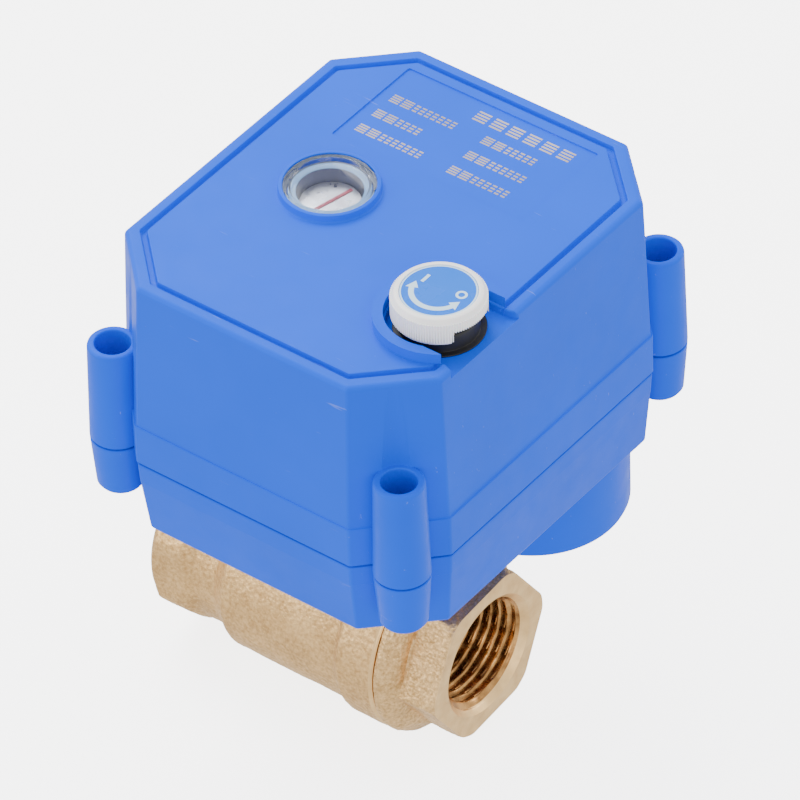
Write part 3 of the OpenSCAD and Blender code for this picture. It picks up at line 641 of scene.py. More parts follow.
class RepeatTree:
    """A Geometry Nodes tree that sets one small solid many times and makes it real."""

    def __init__(self, name: str) -> None:
        """Starts an empty tree with its output.

        Args:
            name: The tree's name.
        """
        self.tree = bpy.data.node_groups.new(name, "GeometryNodeTree")
        self.tree.interface.new_socket(name="Geometry", in_out="OUTPUT",
                                       socket_type="NodeSocketGeometry")
        self.inputs = self.tree.nodes.new("NodeGroupInput")
        self.sockets: dict[str, str] = {}

    def size(self, name: str, kind: str = "Float") -> str:
        """Adds a named input.

        Args:
            name: The input's name.
            kind: Float or Int.

        Returns:
            The same name.
        """
        made = self.tree.interface.new_socket(name=name, in_out="INPUT",
                                              socket_type="NodeSocket" + kind)
        self.sockets[name] = made.identifier
        return name

    def node(self, kind: str, inputs: dict[object, object] | None = None,
             **settings: object) -> bpy.types.Node:
        """Adds a node and feeds it.

        Args:
            kind: The node's full type.
            inputs: Values, sockets, or names of the tree's own inputs.
            **settings: Its own properties.

        Returns:
            The node.
        """
        made = self.tree.nodes.new(kind)
        for key, value in settings.items():
            setattr(made, key, value)
        for key, value in (inputs or {}).items():
            if isinstance(value, str):
                self.tree.links.new(self.inputs.outputs[value], made.inputs[key])
            elif isinstance(value, bpy.types.NodeSocket):
                self.tree.links.new(value, made.inputs[key])
            else:
                made.inputs[key].default_value = value
        return made

    def finish(self, points: bpy.types.NodeSocket, solid: bpy.types.NodeSocket,
               look: Look) -> None:
        """Sets the solid on the points, makes it real, and gives it its material.

        Args:
            points: Where the solids go.
            solid: The solid to repeat.
            look: Their finish.
        """
        setter = self.node("GeometryNodeInstanceOnPoints", {"Points": points, "Instance": solid})
        real = self.node("GeometryNodeRealizeInstances", {0: setter.outputs[0]})
        worn = self.node("GeometryNodeSetMaterial", {"Geometry": real.outputs[0]})
        worn.inputs["Material"].default_value = look.material
        output = self.tree.nodes.new("NodeGroupOutput")
        self.tree.links.new(worn.outputs[0], output.inputs[0])

    def run(self, name: str, values: dict[str, float]) -> bpy.types.Object:
        """Runs the tree and turns its result into a plain mesh.

        Args:
            name: The new piece's name.
            values: A value for each named input.

        Returns:
            The piece, with no modifier left.
        """
        piece = new_object(name, bpy.data.meshes.new(name))
        step = piece.modifiers.new("repeat", "NODES")
        step.node_group = self.tree
        for key, value in values.items():
            step[self.sockets[key]] = value
        bake_modifiers(piece)
        return piece


def ring_of_ribs(name: str, look: Look, **sizes: float) -> bpy.types.Object:
    """Sets upright ribs evenly around a circle.

    Args:
        name: The new piece's name.
        look: The ribs' finish.
        **sizes: Count, Radius, Rib Radius and Rib Height, in metres where they are lengths.

    Returns:
        The ribs, about the Z axis, their middles at height 0.
    """
    tree = RepeatTree(name + "_tree")
    tree.size("Count", "Int")
    for size in ("Radius", "Rib Radius", "Rib Height"):
        tree.size(size)
    ring = tree.node("GeometryNodeMeshCircle", {"Vertices": "Count", "Radius": "Radius"})
    rib = tree.node("GeometryNodeMeshCylinder",
                    {"Vertices": 8, "Radius": "Rib Radius", "Depth": "Rib Height"})
    tree.finish(ring.outputs[0], rib.outputs["Mesh"], look)
    return tree.run(name, {key.replace("_", " ").title(): value for key, value in sizes.items()})


def join(name: str, pieces: Sequence[bpy.types.Object]) -> bpy.types.Object:
    """Makes one object of several, keeping each face's own material.

    Args:
        name: The new object's name.
        pieces: The objects, which are removed.

    Returns:
        The joined object.
    """
    cage = bmesh.new()
    materials: list[bpy.types.Material] = []
    for piece in pieces:
        start = len(cage.faces)
        cage.from_mesh(piece.data)
        cage.faces.ensure_lookup_table()
        worn = list(piece.data.materials)
        for face in cage.faces[start:]:
            material = worn[face.material_index] if worn else None
            if material not in materials:
                materials.append(material)
            face.material_index = materials.index(material)
        bpy.data.objects.remove(piece)
    mesh = bpy.data.meshes.new(name)
    cage.to_mesh(mesh)
    cage.free()
    for material in materials:
        mesh.materials.append(material)
    return new_object(name, mesh)


def carve(piece: bpy.types.Object, cutter: bpy.types.Object,
          kind: str = "DIFFERENCE") -> None:
    """Cuts or joins one closed piece with another, which is then removed.

    Args:
        piece: The piece to change.
        cutter: The solid that changes it.
        kind: DIFFERENCE to cut, or UNION to add.
    """
    step = piece.modifiers.new("carve", "BOOLEAN")
    step.operation = kind
    step.solver = "EXACT"
    step.object = cutter
    bake_modifiers(piece)
    bpy.data.objects.remove(cutter)


def blend_max(first: np.ndarray, second: np.ndarray, round_mm: float) -> np.ndarray:
    """Returns the larger of two radii, with a fillet of about the given size where they cross."""
    gap = np.maximum(round_mm - np.abs(first - second), 0) / round_mm
    return np.maximum(first, second) + gap * gap * round_mm / 4


def blend_min(first: np.ndarray, second: np.ndarray, round_mm: float) -> np.ndarray:
    """Returns the smaller of two radii, with a rounded edge where they cross."""
    return -blend_max(-first, -second, round_mm)


def even_normals(mesh: bpy.types.Mesh, angle: float = 34.0) -> None:
    """Gives flat faces true normals beside their rounded edges.

    Args:
        mesh: The finished mesh.
        angle: Faces that meet at more than this many degrees stay apart.
    """
    cage = bmesh.new()
    cage.from_mesh(mesh)
    limit = math.cos(math.radians(angle))
    weight = {face: face.calc_area() ** 1.5 for face in cage.faces}
    normals = []
    for face in cage.faces:
        for loop in face.loops:
            total = Vector()
            for near in loop.vert.link_faces:
                if near.normal.dot(face.normal) >= limit:
                    total += near.normal * weight[near]
            normals.append(total.normalized() if total.length else face.normal.copy())
    cage.free()
    mesh.normals_split_custom_set(normals)


def cut_solid(name: str, profile: Sequence[tuple[float, float]],
              centre: tuple[float, float] = (0.0, 0.0), around: int = 64) -> bpy.types.Object:
    """Returns a turned solid, its profile from the axis out and back, used to cut or to join."""
    return new_object(name, lathe(name, profile, centre, around))


def plug(radius: float, low: float, high: float, lip: float = 0.0) -> list[tuple[float, float]]:
    """Returns the profile of a plain cylinder that flares by a lip at its top.

    Args:
        radius: Its radius.
        low: Its lower end.
        high: The surface that it cuts; the solid runs 2 mm past it.
        lip: Radius of the rounded edge that it leaves there.
    """
    path = [(0.0, low), (radius, low)]
    if lip:
        for k in range(6):
            turn = math.pi / 2 * k / 5
            path.append((radius + lip * (1 - math.cos(turn)), high - lip + lip * math.sin(turn)))
        path += [(radius + lip, high + 2), (0.0, high + 2)]
    else:
        path += [(radius, high + 2), (0.0, high + 2)]
    return path


def slab_between(name: str, outline: Sequence[tuple[float, float]], low: float, high: float,
                 flare: float = 0.0) -> bpy.types.Object:
    """Extrudes a flat outline upwards.

    Args:
        name: The new piece's name.
        outline: Points in order.
        low: Its lower face.
        high: The surface where a flare ends; the solid runs 2 mm past it if there is one.
        flare: How far the outline grows at its top, as a rounded lip.

    Returns:
        The solid.
    """
    flat = np.array(outline, float)
    ahead, behind = np.roll(flat, -1, 0) - flat, flat - np.roll(flat, 1, 0)
    along = ahead / np.linalg.norm(ahead, axis=1)[:, None]
    along += behind / np.linalg.norm(behind, axis=1)[:, None]
    along /= np.linalg.norm(along, axis=1)[:, None]
    outward = np.stack([along[:, 1], -along[:, 0]], 1)
    area = np.sum(flat[:, 0] * np.roll(flat[:, 1], -1) - np.roll(flat[:, 0], -1) * flat[:, 1])
    outward *= math.copysign(1, area)
    skin = Skin()
    level = [(low, 0.0)]
    if flare:
        for k in range(6):
            turn = math.pi / 2 * k / 5
            level.append((high - flare + flare * math.sin(turn), flare * (1 - math.cos(turn))))
        level.append((high + 2, flare))
    else:
        level.append((high, 0.0))
    for height, grown in level:
        skin.ring(np.column_stack([flat + outward * grown, np.full(len(flat), height)]))
    return new_object(name, skin.mesh(name))


def upright(outline: Sequence[tuple[float, float]], name: str, back: float,
            front: float, centre: tuple[float, float]) -> bpy.types.Object:
    """Extrudes an outline along Y.

    Args:
        outline: Points (x, z) about the centre.
        name: The new piece's name.
        back: The end at the lower Y.
        front: The end at the higher Y.
        centre: The middle, in X and Z.

    Returns:
        The solid.
    """
    skin = Skin()
    flat = np.array(outline, float)
    for y in (back, front):
        skin.ring(np.column_stack([flat[:, 0] + centre[0], np.full(len(flat), y),
                                   flat[:, 1] + centre[1]]))
    return new_object(name, skin.mesh(name))


# ---------------------------------------------------------------- housing


def neck_spots(radius: float = 11.6) -> list[tuple[float, float]]:
    """Returns the middles of the four screws that hold the base on the valve's neck."""
    turns = [math.radians(45 + 90 * k) for k in range(4)]
    return [(radius * math.cos(turn), radius * math.sin(turn)) for turn in turns]


@dataclass(frozen=True)
class Octagon:
    """A rectangle with cut corners: half sizes and the cuts' legs, in millimetres."""

    x: float
    y: float
    cut_x: float
    cut_y: float

    def inset(self, depth: float) -> Octagon:
        """Returns the outline moved inwards on every side."""
        slope = math.hypot(self.cut_x, self.cut_y)
        return Octagon(
            self.x - depth,
            self.y - depth,
            self.cut_x - depth + depth * (slope - self.cut_x) / self.cut_y,
            self.cut_y - depth + depth * (slope - self.cut_y) / self.cut_x,
        )

    def toward(self, other: Octagon, share: float) -> Octagon:
        """Returns the outline part of the way to another."""
        pairs = zip(
            (self.x, self.y, self.cut_x, self.cut_y),
            (other.x, other.y, other.cut_x, other.cut_y),
        )
        return Octagon(*(a + (b - a) * share for a, b in pairs))

    def points(self, centre_x: float, round_mm: float = 0.9) -> np.ndarray:
        """Rounds the outline at its corners.

        Args:
            centre_x: The housing's middle.
            round_mm: Radius of the corners.

        Returns:
            Points in order, anticlockwise.
        """
        x, y, a, b = self.x, self.y, self.cut_x, self.cut_y
        corners = [(x, b - y), (x, y - b), (x - a, y), (a - x, y),
                   (-x, y - b), (-x, b - y), (a - x, -y), (x - a, -y)]
        path = rounded_path(corners, [round_mm] * 8, 5)
        return np.array(path) + np.array([centre_x, 0.0])

    def ring(self, centre_x: float, height: float, round_mm: float = 0.9) -> np.ndarray:
        """Returns the outline as points at a height."""
        flat = self.points(centre_x, round_mm)
        return np.column_stack([flat, np.full(len(flat), height)])


@dataclass
class Housing:
    """The blue shells: a base with a motor boss, and a cover with its window ring and pocket."""

    base_foot: Octagon = Octagon(32.0, 37.5, 10.8, 10.5)
    base_line: Octagon = Octagon(32.9, 38.9, 11.3, 11.6)
    base_wall: Octagon = Octagon(33.2, 39.2, 11.5, 11.8)
    skirt: Octagon = Octagon(33.35, 39.35, 11.5, 11.8)
    cover_low: Octagon = Octagon(33.0, 39.1, 11.4, 11.7)
    cover_top: Octagon = Octagon(32.0, 37.6, 10.8, 10.5)
    groove_out: Octagon = Octagon(29.8, 35.4, 9.9, 9.6)
    groove_in: Octagon = Octagon(28.8, 34.4, 9.5, 9.2)
    cavity_low: Octagon = Octagon(30.6, 36.6, 10.4, 10.6)
    cavity_top: Octagon = Octagon(29.4, 35.0, 9.7, 9.4)
    base_cavity: Octagon = Octagon(29.5, 35.0, 9.8, 9.6)
    groove_depth: float = 1.0
    edge_round: float = 1.0
    wall: float = 2.4
    floor: float = 2.6
    base_line_height: float = 11.2
    seam_half_gap: float = 0.2
    skirt_height: float = 8.1
    lug_reach: tuple[float, float] = (29.1, 35.0)
    lug_height: float = 34.75
    lug_hole: float = 3.0
    lug_foot: float = 4.9
    channel: float = 3.75
    pocket_radius: float = 8.65
    pocket_mouth: float = 8.1
    ring_height: float = 1.4
    ring_radius: float = 8.45
    boss_radius: float = 16.2
    nameplate: tuple[float, float, float, float] = (-8.6, 11.5, 30.1, 32.5)

    def __post_init__(self) -> None:
        """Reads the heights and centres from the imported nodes."""
        base_low, base_high = corners("base")
        gasket_low, gasket_high = corners("cover_gasket")
        _, cover_high = corners("top_cover")
        bush_low, bush_high = corners("shaft_bush")
        cushion_low, cushion_high = corners("motor_cushion")
        label_low, label_high = corners("knob_label")
        seal_low, _ = corners("knob_seal")
        gland_low, gland_high = corners("cable_gland")
        self.centre = (base_low.x + base_high.x) / 2
        self.base_z = bush_low.z
        self.bush_top = bush_high.z
        self.seam_z = (gasket_low.z + gasket_high.z) / 2
        self.ring_z = cover_high.z
        self.top_z = cover_high.z - self.ring_height
        self.boss_z = base_low.z
        self.boss = ((cushion_low.x + cushion_high.x) / 2, (cushion_low.y + cushion_high.y) / 2)
        self.knob = ((label_low.x + label_high.x) / 2, (label_low.y + label_high.y) / 2)
        self.recess_z = seal_low.z
        self.gland = ((gland_low.x + gland_high.x) / 2, (gland_low.z + gland_high.z) / 2)
        self.skirt_z = self.seam_z + self.skirt_height

    def lugs(self) -> list[tuple[float, float]]:
        """Returns the four lugs' centres."""
        reach_x, reach_y = self.lug_reach
        return [(self.centre + i * reach_x, j * reach_y) for i in (-1, 1) for j in (-1, 1)]

    def cover_blank(self) -> bpy.types.Object:
        """Returns the cover's outside as one solid: skirt, drawn walls, rim, groove and panel."""
        skin = Skin()
        low = self.seam_z + self.seam_half_gap
        ledge = 0.3
        for height, shape, inset in (
            (low, self.skirt, 0.18), (low + 0.18, self.skirt, 0.0),
            (self.skirt_z - 0.25, self.skirt, 0.0), (self.skirt_z - 0.07, self.skirt, 0.07),
            (self.skirt_z, self.skirt, ledge), (self.skirt_z + 0.12, self.cover_low, 0.0),
        ):
            skin.ring(shape.inset(inset).ring(self.centre, height))
        rise = self.top_z - self.skirt_z
        for share in (0.33, 0.66):
            shape = self.cover_low.toward(self.cover_top, share)
            skin.ring(shape.ring(self.centre, self.skirt_z + rise * share))
        turns = 6
        for k in range(turns + 1):
            turn = math.pi / 2 * k / turns
            shape = self.cover_top.inset(self.edge_round * (1 - math.cos(turn)))
            height = self.top_z - self.edge_round * (1 - math.sin(turn))
            skin.ring(shape.ring(self.centre, height))
        lip = 0.22
        for shape, spread, drop in (
            (self.groove_out, -lip, 0.0), (self.groove_out, -lip * 0.3, lip * 0.3),
            (self.groove_out, 0.0, lip), (self.groove_out, 0.05, self.groove_depth - 0.15),
            (self.groove_out, 0.22, self.groove_depth), (self.groove_in, -0.2, self.groove_depth),
            (self.groove_in, -0.05, self.groove_depth - 0.15), (self.groove_in, 0.0, lip),
            (self.groove_in, lip * 0.3, lip * 0.3), (self.groove_in, lip, 0.0),
            (self.groove_in, 2.0, 0.0),
        ):
            skin.ring(shape.inset(spread).ring(self.centre, self.top_z - drop))
        return new_object("cover", skin.mesh("cover"))

    def pocket(self) -> list[tuple[float, float]]:
        """Returns the knob pocket's outline: an arc that opens through the +X face."""
        x, y = self.knob
        radius, mouth, face = self.pocket_radius, self.pocket_mouth, self.centre + self.cover_top.x
        start = math.asin(mouth / radius)
        flare = ((4.0, 4.0), (0.6, 1.6), (-0.3, 0.5), (-1.6, 0.0))
        path = [(face + out, y - mouth - wider) for out, wider in flare]
        steps = 40
        for k in range(steps + 1):
            turn = -start - (2 * math.pi - 2 * start) * k / steps
            path.append((x + radius * math.cos(turn), y + radius * math.sin(turn)))
        path += [(face + out, y + mouth + wider) for out, wider in reversed(flare)]
        return path[::-1]

    def pocket_step(self) -> bpy.types.Object:
        """Returns the cutter of the shallow sloped step round the pocket."""
        top = self.top_z
        profile = [(0.0, top + 0.02), (8.9, top + 0.02), (9.35, top - 0.16), (9.85, top - 0.5),
                   (10.1, top - 0.48), (10.45, top - 0.16), (10.75, top + 0.01), (10.8, top + 2),
                   (0.0, top + 2)]
        return cut_solid("pocket_step", profile, self.knob, 128)

    def cover(self) -> bpy.types.Object:
        """Builds and dresses the cover."""
        piece = self.cover_blank()
        ring = self.ring_radius
        top, high = self.top_z, self.ring_z
        carve(piece, cut_solid("ring", [
            (0.0, top - 3), (ring, top - 3), (ring + 0.45, top - 0.05), (ring + 0.16, top + 0.1),
            (ring, top + 0.35), (ring, high - 0.3), (ring - 0.09, high - 0.09),
            (ring - 0.3, high), (0.0, high)], around=128), "UNION")
        low = self.seam_z + self.seam_half_gap
        lug_top = self.base_z + self.lug_height
        for spot in self.lugs():
            carve(piece, cut_solid("channel", plug(self.channel, lug_top - 2, top), spot))
            carve(piece, cut_solid("lug", [
                (0.0, low), (4.62, low), (4.75, low + 0.15), (4.28, lug_top - 0.6),
                (4.17, lug_top - 0.25), (3.98, lug_top - 0.07), (3.7, lug_top), (0.0, lug_top),
            ], spot), "UNION")
        self.hollow_cover(piece)
        carve(piece, self.pocket_step())
        carve(piece, slab_between("pocket", self.pocket(), self.recess_z, top, 0.35))
        for spot in self.lugs():
            carve(piece, cut_solid("hole", plug(self.lug_hole, self.seam_z + 3.8, lug_top, 0.3), spot))
            carve(piece, cut_solid("way", plug(1.6, self.seam_z - 1, self.seam_z + 3), spot, 32))
        carve(piece, cut_solid("sight", plug(6.9, top - 5, high), around=96))
        carve(piece, cut_solid("seat", plug(7.72, top - 0.9, high, 0.14), around=128))
        carve(piece, cut_solid("shaft_way", plug(2.05, top - 10, top), self.knob, 32))
        x0, y0, x1, y1 = self.nameplate
        plate = rounded_path([(x0, y0), (x1, y0), (x1, y1), (x0, y1)], [0.5] * 4, 3)
        carve(piece, slab_between("plate", plate, top - 0.3, top + 1))
        turned = circle(6.0, 48)
        carve(piece, upright([tuple(p) for p in turned], "gland_way", 32.0, 46.0, self.gland))
        dress(piece, Look.HOUSING)
        smooth(piece.data, 34)
        even_normals(piece.data)
        settle(piece, "housing", "blue_plastic", "top_cover")
        return piece

    def hollow_cover(self, piece: bpy.types.Object) -> None:
        """Cuts the cover's inside, leaving the pocket's floor and the knob's guide sleeve.

        Args:
            piece: The cover as one solid.
        """
        skin = Skin()
        ceiling = self.top_z - self.wall
        skin.ring(self.cavity_low.ring(self.centre, self.seam_z - 1))
        skin.ring(self.cavity_top.ring(self.centre, ceiling))
        room = new_object("room", skin.mesh("room"))
        x, y = self.knob
        keep = [(x + 12.0 * math.cos(t), y + 11.0 * math.sin(t))
                for t in np.linspace(math.pi / 2, 1.5 * math.pi, 24)]
        keep += [(x + 20, y - 11.0), (x + 20, y + 11.0)]
        carve(room, slab_between("keep", keep, self.recess_z - 2, self.top_z))
        carve(room, cut_solid("sleeve", plug(4.2, self.recess_z - 4, self.top_z), self.knob, 48))
        carve(piece, room)

    def base(self) -> bpy.types.Object:
        """Builds and dresses the base."""
        skin = Skin()
        foot_round = 0.9
        for k in range(6):
            turn = math.pi / 2 * k / 5
            shape = self.base_foot.inset(foot_round * (1 - math.sin(turn)))
            skin.ring(shape.ring(self.centre, self.base_z + foot_round * (1 - math.cos(turn))))
        line = self.base_z + self.base_line_height
        high = self.seam_z - self.seam_half_gap
        for height, shape, inset in (
            (line - 0.06, self.base_line, 0.0), (line, self.base_line, -0.06),
            (line + 0.3, self.base_wall, 0.2), (high - 0.35, self.base_wall, 0.0),
            (high - 0.1, self.base_wall, 0.08), (high, self.base_wall, 0.3),
        ):
            skin.ring(shape.inset(inset).ring(self.centre, height))
        piece = new_object("base_shell", skin.mesh("base_shell"))
        radius, low = self.boss_radius, self.boss_z
        carve(piece, cut_solid("boss", [
            (0.0, low), (radius - 1.0, low), (radius - 0.3, low + 0.3), (radius, low + 1.0),
            (radius, self.base_z + 2), (0.0, self.base_z + 2)], self.boss, 160), "UNION")
        foot = self.base_z + self.lug_foot
        for spot in self.lugs():
            carve(piece, cut_solid("lug", [
                (0.0, foot), (2.8, foot), (3.6, foot + 0.25), (4.05, foot + 0.9),
                (4.72, high - 0.15), (4.6, high), (0.0, high)], spot), "UNION")
        room = new_object("room", self.room_mesh(self.base_z + self.floor))
        carve(room, cut_solid("collar", plug(9.2, self.base_z, self.bush_top - 2), around=64))
        carve(piece, room)
        carve(piece, cut_solid("motor_way", plug(radius - 2.5, low + 2.4, high), self.boss, 96))
        carve(piece, cut_solid("neck_way", plug(8.0, self.base_z - 2, high), around=64))
        for spot in neck_spots():
            carve(piece, cut_solid("screw_way", plug(1.6, self.base_z - 2, high), spot, 24))
        dress(piece, Look.HOUSING)
        smooth(piece.data, 34)
        even_normals(piece.data)
        settle(piece, "housing", "blue_plastic", "base")
        return piece

    def room_mesh(self, low: float) -> bpy.types.Mesh:
        """Builds the base's inside as a solid.

        Args:
            low: Height of its floor.

        Returns:
            The solid.
        """
        skin = Skin()
        skin.ring(self.base_cavity.ring(self.centre, low))
        skin.ring(self.base_cavity.ring(self.centre, self.seam_z + 2))
        return skin.mesh("room")


# ---------------------------------------------------------------- valve


def around_pipe(radius: np.ndarray, x: float) -> np.ndarray:
    """Returns a ring of points about the pipe's axis, its angle measured from +Y towards +Z."""
    turn = np.linspace(0, 2 * math.pi, len(radius), endpoint=False)
    return np.column_stack([np.full(len(radius), x), radius * np.cos(turn), radius * np.sin(turn)])


def polygon_radius(turn: np.ndarray, sides: int, across: float, roll: float) -> np.ndarray:
    """Returns the radius of a regular polygon along each direction.

    Args:
        turn: Angles in radians.
        sides: Number of flats.
        across: Distance across the flats.
        roll: Direction of one flat's middle, in degrees.
    """
    step = 2 * math.pi / sides
    local = turn - math.radians(roll)
    local = local - step * np.round(local / step)
    return across / 2 / np.cos(local)


@dataclass
class Port:
    """An internal pipe thread with a lead-in chamfer, cut as a true helix."""

    crest: float = 9.32
    root: float = 10.42
    pitch: float = 1.814
    length: float = 14.0
    chamfer: float = 11.3
    chamfer_length: float = 2.0
    fade: float = 2.2
    step: float = 0.13

    def radius(self, turn: np.ndarray, depth: float) -> np.ndarray:
        """Works out the bore's radius at a depth.

        Args:
            turn: Angles around the axis.
            depth: Distance in from the mouth.

        Returns:
            A radius for each angle.
        """
        phase = 2 * math.pi * depth / self.pitch + turn
        wave = np.arcsin(np.sin(phase) * 0.93) / math.asin(0.93)
        ease = min(1.0, max(0.0, (self.length - depth) / self.fade))
        middle, swing = (self.crest + self.root) / 2, (self.root - self.crest) / 2
        thread = self.crest + (middle + swing * wave - self.crest) * ease
        lead = self.chamfer - (self.chamfer - self.crest) * depth / self.chamfer_length
        return np.maximum(thread, lead)


class Zone(Enum):
    """Parts of a casting's skin, by material index."""

    CAST = 0
    FACED = 1
    THREAD = 2
    BORE = 3


@dataclass
class Valve:
    """The brass castings: a body with its inlet octagon and neck, and a screwed-in end cap."""

    port: Port = field(default_factory=Port)
    around: int = 300
    octagon_across: float = 31.0
    hexagon_across: float = 27.6
    cap_roll: float = 5.0
    way: float = 7.0
    spigot: float = 13.5
    counterbore: float = 15.1
    cavity: float = 11.6
    seat_pocket: float = 10.4

    def __post_init__(self) -> None:
        """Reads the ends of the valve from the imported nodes."""
        body_low, body_high = corners("valve_body")
        _, cap_high = corners("end_cap")
        self.inlet_x, self.joint_x, self.outlet_x = body_low.x, body_high.x, cap_high.x
        self.flange_top = body_high.z
        self.turn = np.linspace(0, 2 * math.pi, self.around, endpoint=False)

    def thread_rings(self, skin: Skin, mouth: float, inward: int, outwards: bool) -> None:
        """Adds a port's rings.

        Args:
            skin: The casting that the port is in.
            mouth: X of its mouth.
            inward: 1 where the port runs towards +X, -1 where it runs towards -X.
            outwards: True to start at the inner end.
        """
        depths = list(np.arange(0.35, self.port.length, self.port.step))
        rings = [(0.0, Zone.FACED), (0.18, Zone.FACED)] + [
            (d, Zone.FACED if d < 1.1 else Zone.THREAD) for d in depths]
        if outwards:
            rings = [(d, z) for (d, _), (_, z) in zip(rings, [rings[0]] + rings)][::-1]
        for depth, zone in rings:
            ring = around_pipe(self.port.radius(self.turn, depth), mouth + inward * depth)
            skin.ring(ring, zone.value)

    def body_radius(self, x: float) -> np.ndarray:
        """Works out the body's outside.

        Args:
            x: Where the ring is.

        Returns:
            A radius for each angle.
        """
        left = self.inlet_x
        path = rounded_path(
            [(left, 14.2), (left + 0.8, 14.9), (-16.8, 14.9), (-13.6, 17.0), (10.4, 17.0),
             (11.7, 18.05), (self.joint_x - 0.45, 18.05), (self.joint_x, 17.6)],
            [0, 0.6, 2.2, 1.8, 1.2, 0.9, 0.5, 0], 5)
        turned = np.full(self.around, np.interp(x, *np.array(path).T))
        flats = polygon_radius(self.turn, 8, self.octagon_across, 0.0)
        limit = np.interp(x, [left, left + 1.2, left + 6.6, left + 8.6, left + 9.0],
                          [15.3, 16.45, 16.45, 14.4, 12.0])
        return blend_max(turned, blend_min(flats, np.full(self.around, limit), 0.5), 1.2)

    def body(self) -> bpy.types.Object:
        """Builds and dresses the body."""
        skin = Skin(wrap=True)
        xs = np.concatenate([np.arange(self.inlet_x, self.joint_x - 0.6, 0.42),
                             np.linspace(self.joint_x - 0.6, self.joint_x, 5)])
        for x in xs:
            zone = Zone.CAST if x < self.joint_x - 0.7 else Zone.FACED
            skin.ring(around_pipe(self.body_radius(x), x), zone.value)
        joint, shoulder, step, seat = self.joint_x, 5.6, -5.0, -12.0
        for radius, x in ((self.counterbore + 0.2, joint), (self.counterbore, joint - 0.2),
                          (self.counterbore, joint - 1.6), (self.spigot, joint - 1.6),
                          (self.spigot, shoulder), (self.cavity, shoulder), (self.cavity, step),
                          (self.seat_pocket, step), (self.seat_pocket, seat), (self.way, seat),
                          (self.way, seat - 4.0)):
            skin.ring(around_pipe(np.full(self.around, radius), x), Zone.BORE.value)
        self.thread_rings(skin, self.inlet_x, 1, True)
        last = self.body_radius(self.inlet_x) - 0.35
        skin.ring(around_pipe(np.full(self.around, self.port.chamfer + 0.2), self.inlet_x),
                  Zone.FACED.value)
        skin.ring(around_pipe(last, self.inlet_x), Zone.FACED.value)
        piece = new_object("body_casting", skin.mesh("body_casting"))
        top = self.flange_top
        neck = cut_solid("neck", rounded_path(
            [(0.0, 9.0), (10.5, 9.0), (10.5, top - 4), (15.0, top - 4), (15.0, top), (0.0, top)],
            [0, 0, 1.6, 0.8, 0.35, 0], 5), around=120)
        carve(piece, neck, "UNION")
        for radius, low, high in ((5.6, 0.0, 12.2), (4.05, 5.0, top), (7.0, 22.0, top)):
            carve(piece, cut_solid("way", [(0.0, low), (radius, low), (radius, high + 0.01),
                                           (0.0, high + 0.01)], around=48))
        for spot in neck_spots():
            carve(piece, cut_solid("tapped", plug(1.25, top - 4.8, top), spot, 20))
        dress(piece, Look.CAST, Look.FACED, Look.THREAD, Look.BRASS)
        self.cast_skin(piece, 0.10)
        smooth(piece.data, 40)
        settle(piece, "housing", "cast_brass", "valve_body")
        return piece

    def cap_radius(self, x: float) -> np.ndarray:
        """Works out the end cap's outside.

        Args:
            x: Where the ring is.

        Returns:
            A radius for each angle.
        """
        joint, end = self.joint_x, self.outlet_x
        path = rounded_path([(joint, 17.3), (joint + 0.45, 17.95), (joint + 1.7, 17.95),
                             (joint + 3.9, 15.3), (joint + 4.3, 12.0), (end, 12.0)],
                            [0, 0.4, 0.9, 0.5, 0, 0], 5)
        shoulder = np.full(self.around, np.interp(x, *np.array(path).T))
        flats = polygon_radius(self.turn, 6, self.hexagon_across, self.cap_roll + 30)
        corner = self.hexagon_across / math.sqrt(3)
        limit = np.interp(x, [joint, end - 1.7, end], [corner + 0.3, corner + 0.1, corner - 0.85])
        return blend_max(shoulder, blend_min(flats, np.full(self.around, limit), 0.35), 1.0)

    def cap(self) -> bpy.types.Object:
        """Builds and dresses the end cap."""
        skin = Skin(wrap=True)
        joint, end = self.joint_x, self.outlet_x
        tail, seat, slip = 5.8, 12.0, self.spigot - 0.01
        for radius, x in ((slip, tail), (slip, joint - 0.02), (15.0, joint + 0.02),
                          (16.9, joint + 0.04)):
            skin.ring(around_pipe(np.full(self.around, radius), x), Zone.BORE.value)
        for x in np.concatenate([np.linspace(joint + 0.05, joint + 0.5, 4),
                                 np.arange(joint + 0.8, end - 0.1, 0.33), [end - 0.05, end]]):
            zone = Zone.CAST if x < end - 0.1 else Zone.FACED
            skin.ring(around_pipe(self.cap_radius(x), x), zone.value)
        face = self.cap_radius(end)
        skin.ring(around_pipe(face - 0.3, end), Zone.FACED.value)
        skin.ring(around_pipe(np.full(self.around, self.port.chamfer + 0.3), end),
                  Zone.FACED.value)
        self.thread_rings(skin, end, -1, False)
        for radius, x in ((self.way, end - self.port.length), (self.way, seat),
                          (self.seat_pocket, seat), (self.seat_pocket, tail)):
            skin.ring(around_pipe(np.full(self.around, radius), x), Zone.BORE.value)
        piece = new_object("outlet_cap", skin.mesh("outlet_cap"))
        dress(piece, Look.CAP_CAST, Look.FACED, Look.THREAD, Look.BRASS)
        self.cast_skin(piece, 0.13)
        smooth(piece.data, 40)
        settle(piece, "housing", "cast_brass", "end_cap")
        return piece

    def cast_skin(self, piece: bpy.types.Object, depth: float) -> None:
        """Gives the cast faces the uneven skin of sand casting.

        Args:
            piece: The casting.
            depth: How far its skin moves, about.
        """
        cage = bmesh.new()
        cage.from_mesh(piece.data)
        for vert in cage.verts:
            if any(face.material_index != Zone.CAST.value for face in vert.link_faces):
                continue
            place = vert.co / MM
            if place.z > self.flange_top - 0.05:
                continue
            coarse = noise.noise(place * 0.22)
            fine = noise.noise(place * 1.3 + Vector((7.1, 3.3, 5.7)))
            vert.co += vert.normal * (coarse * 1.2 + fine * 0.6) * depth * MM
        cage.to_mesh(piece.data)
        cage.free()


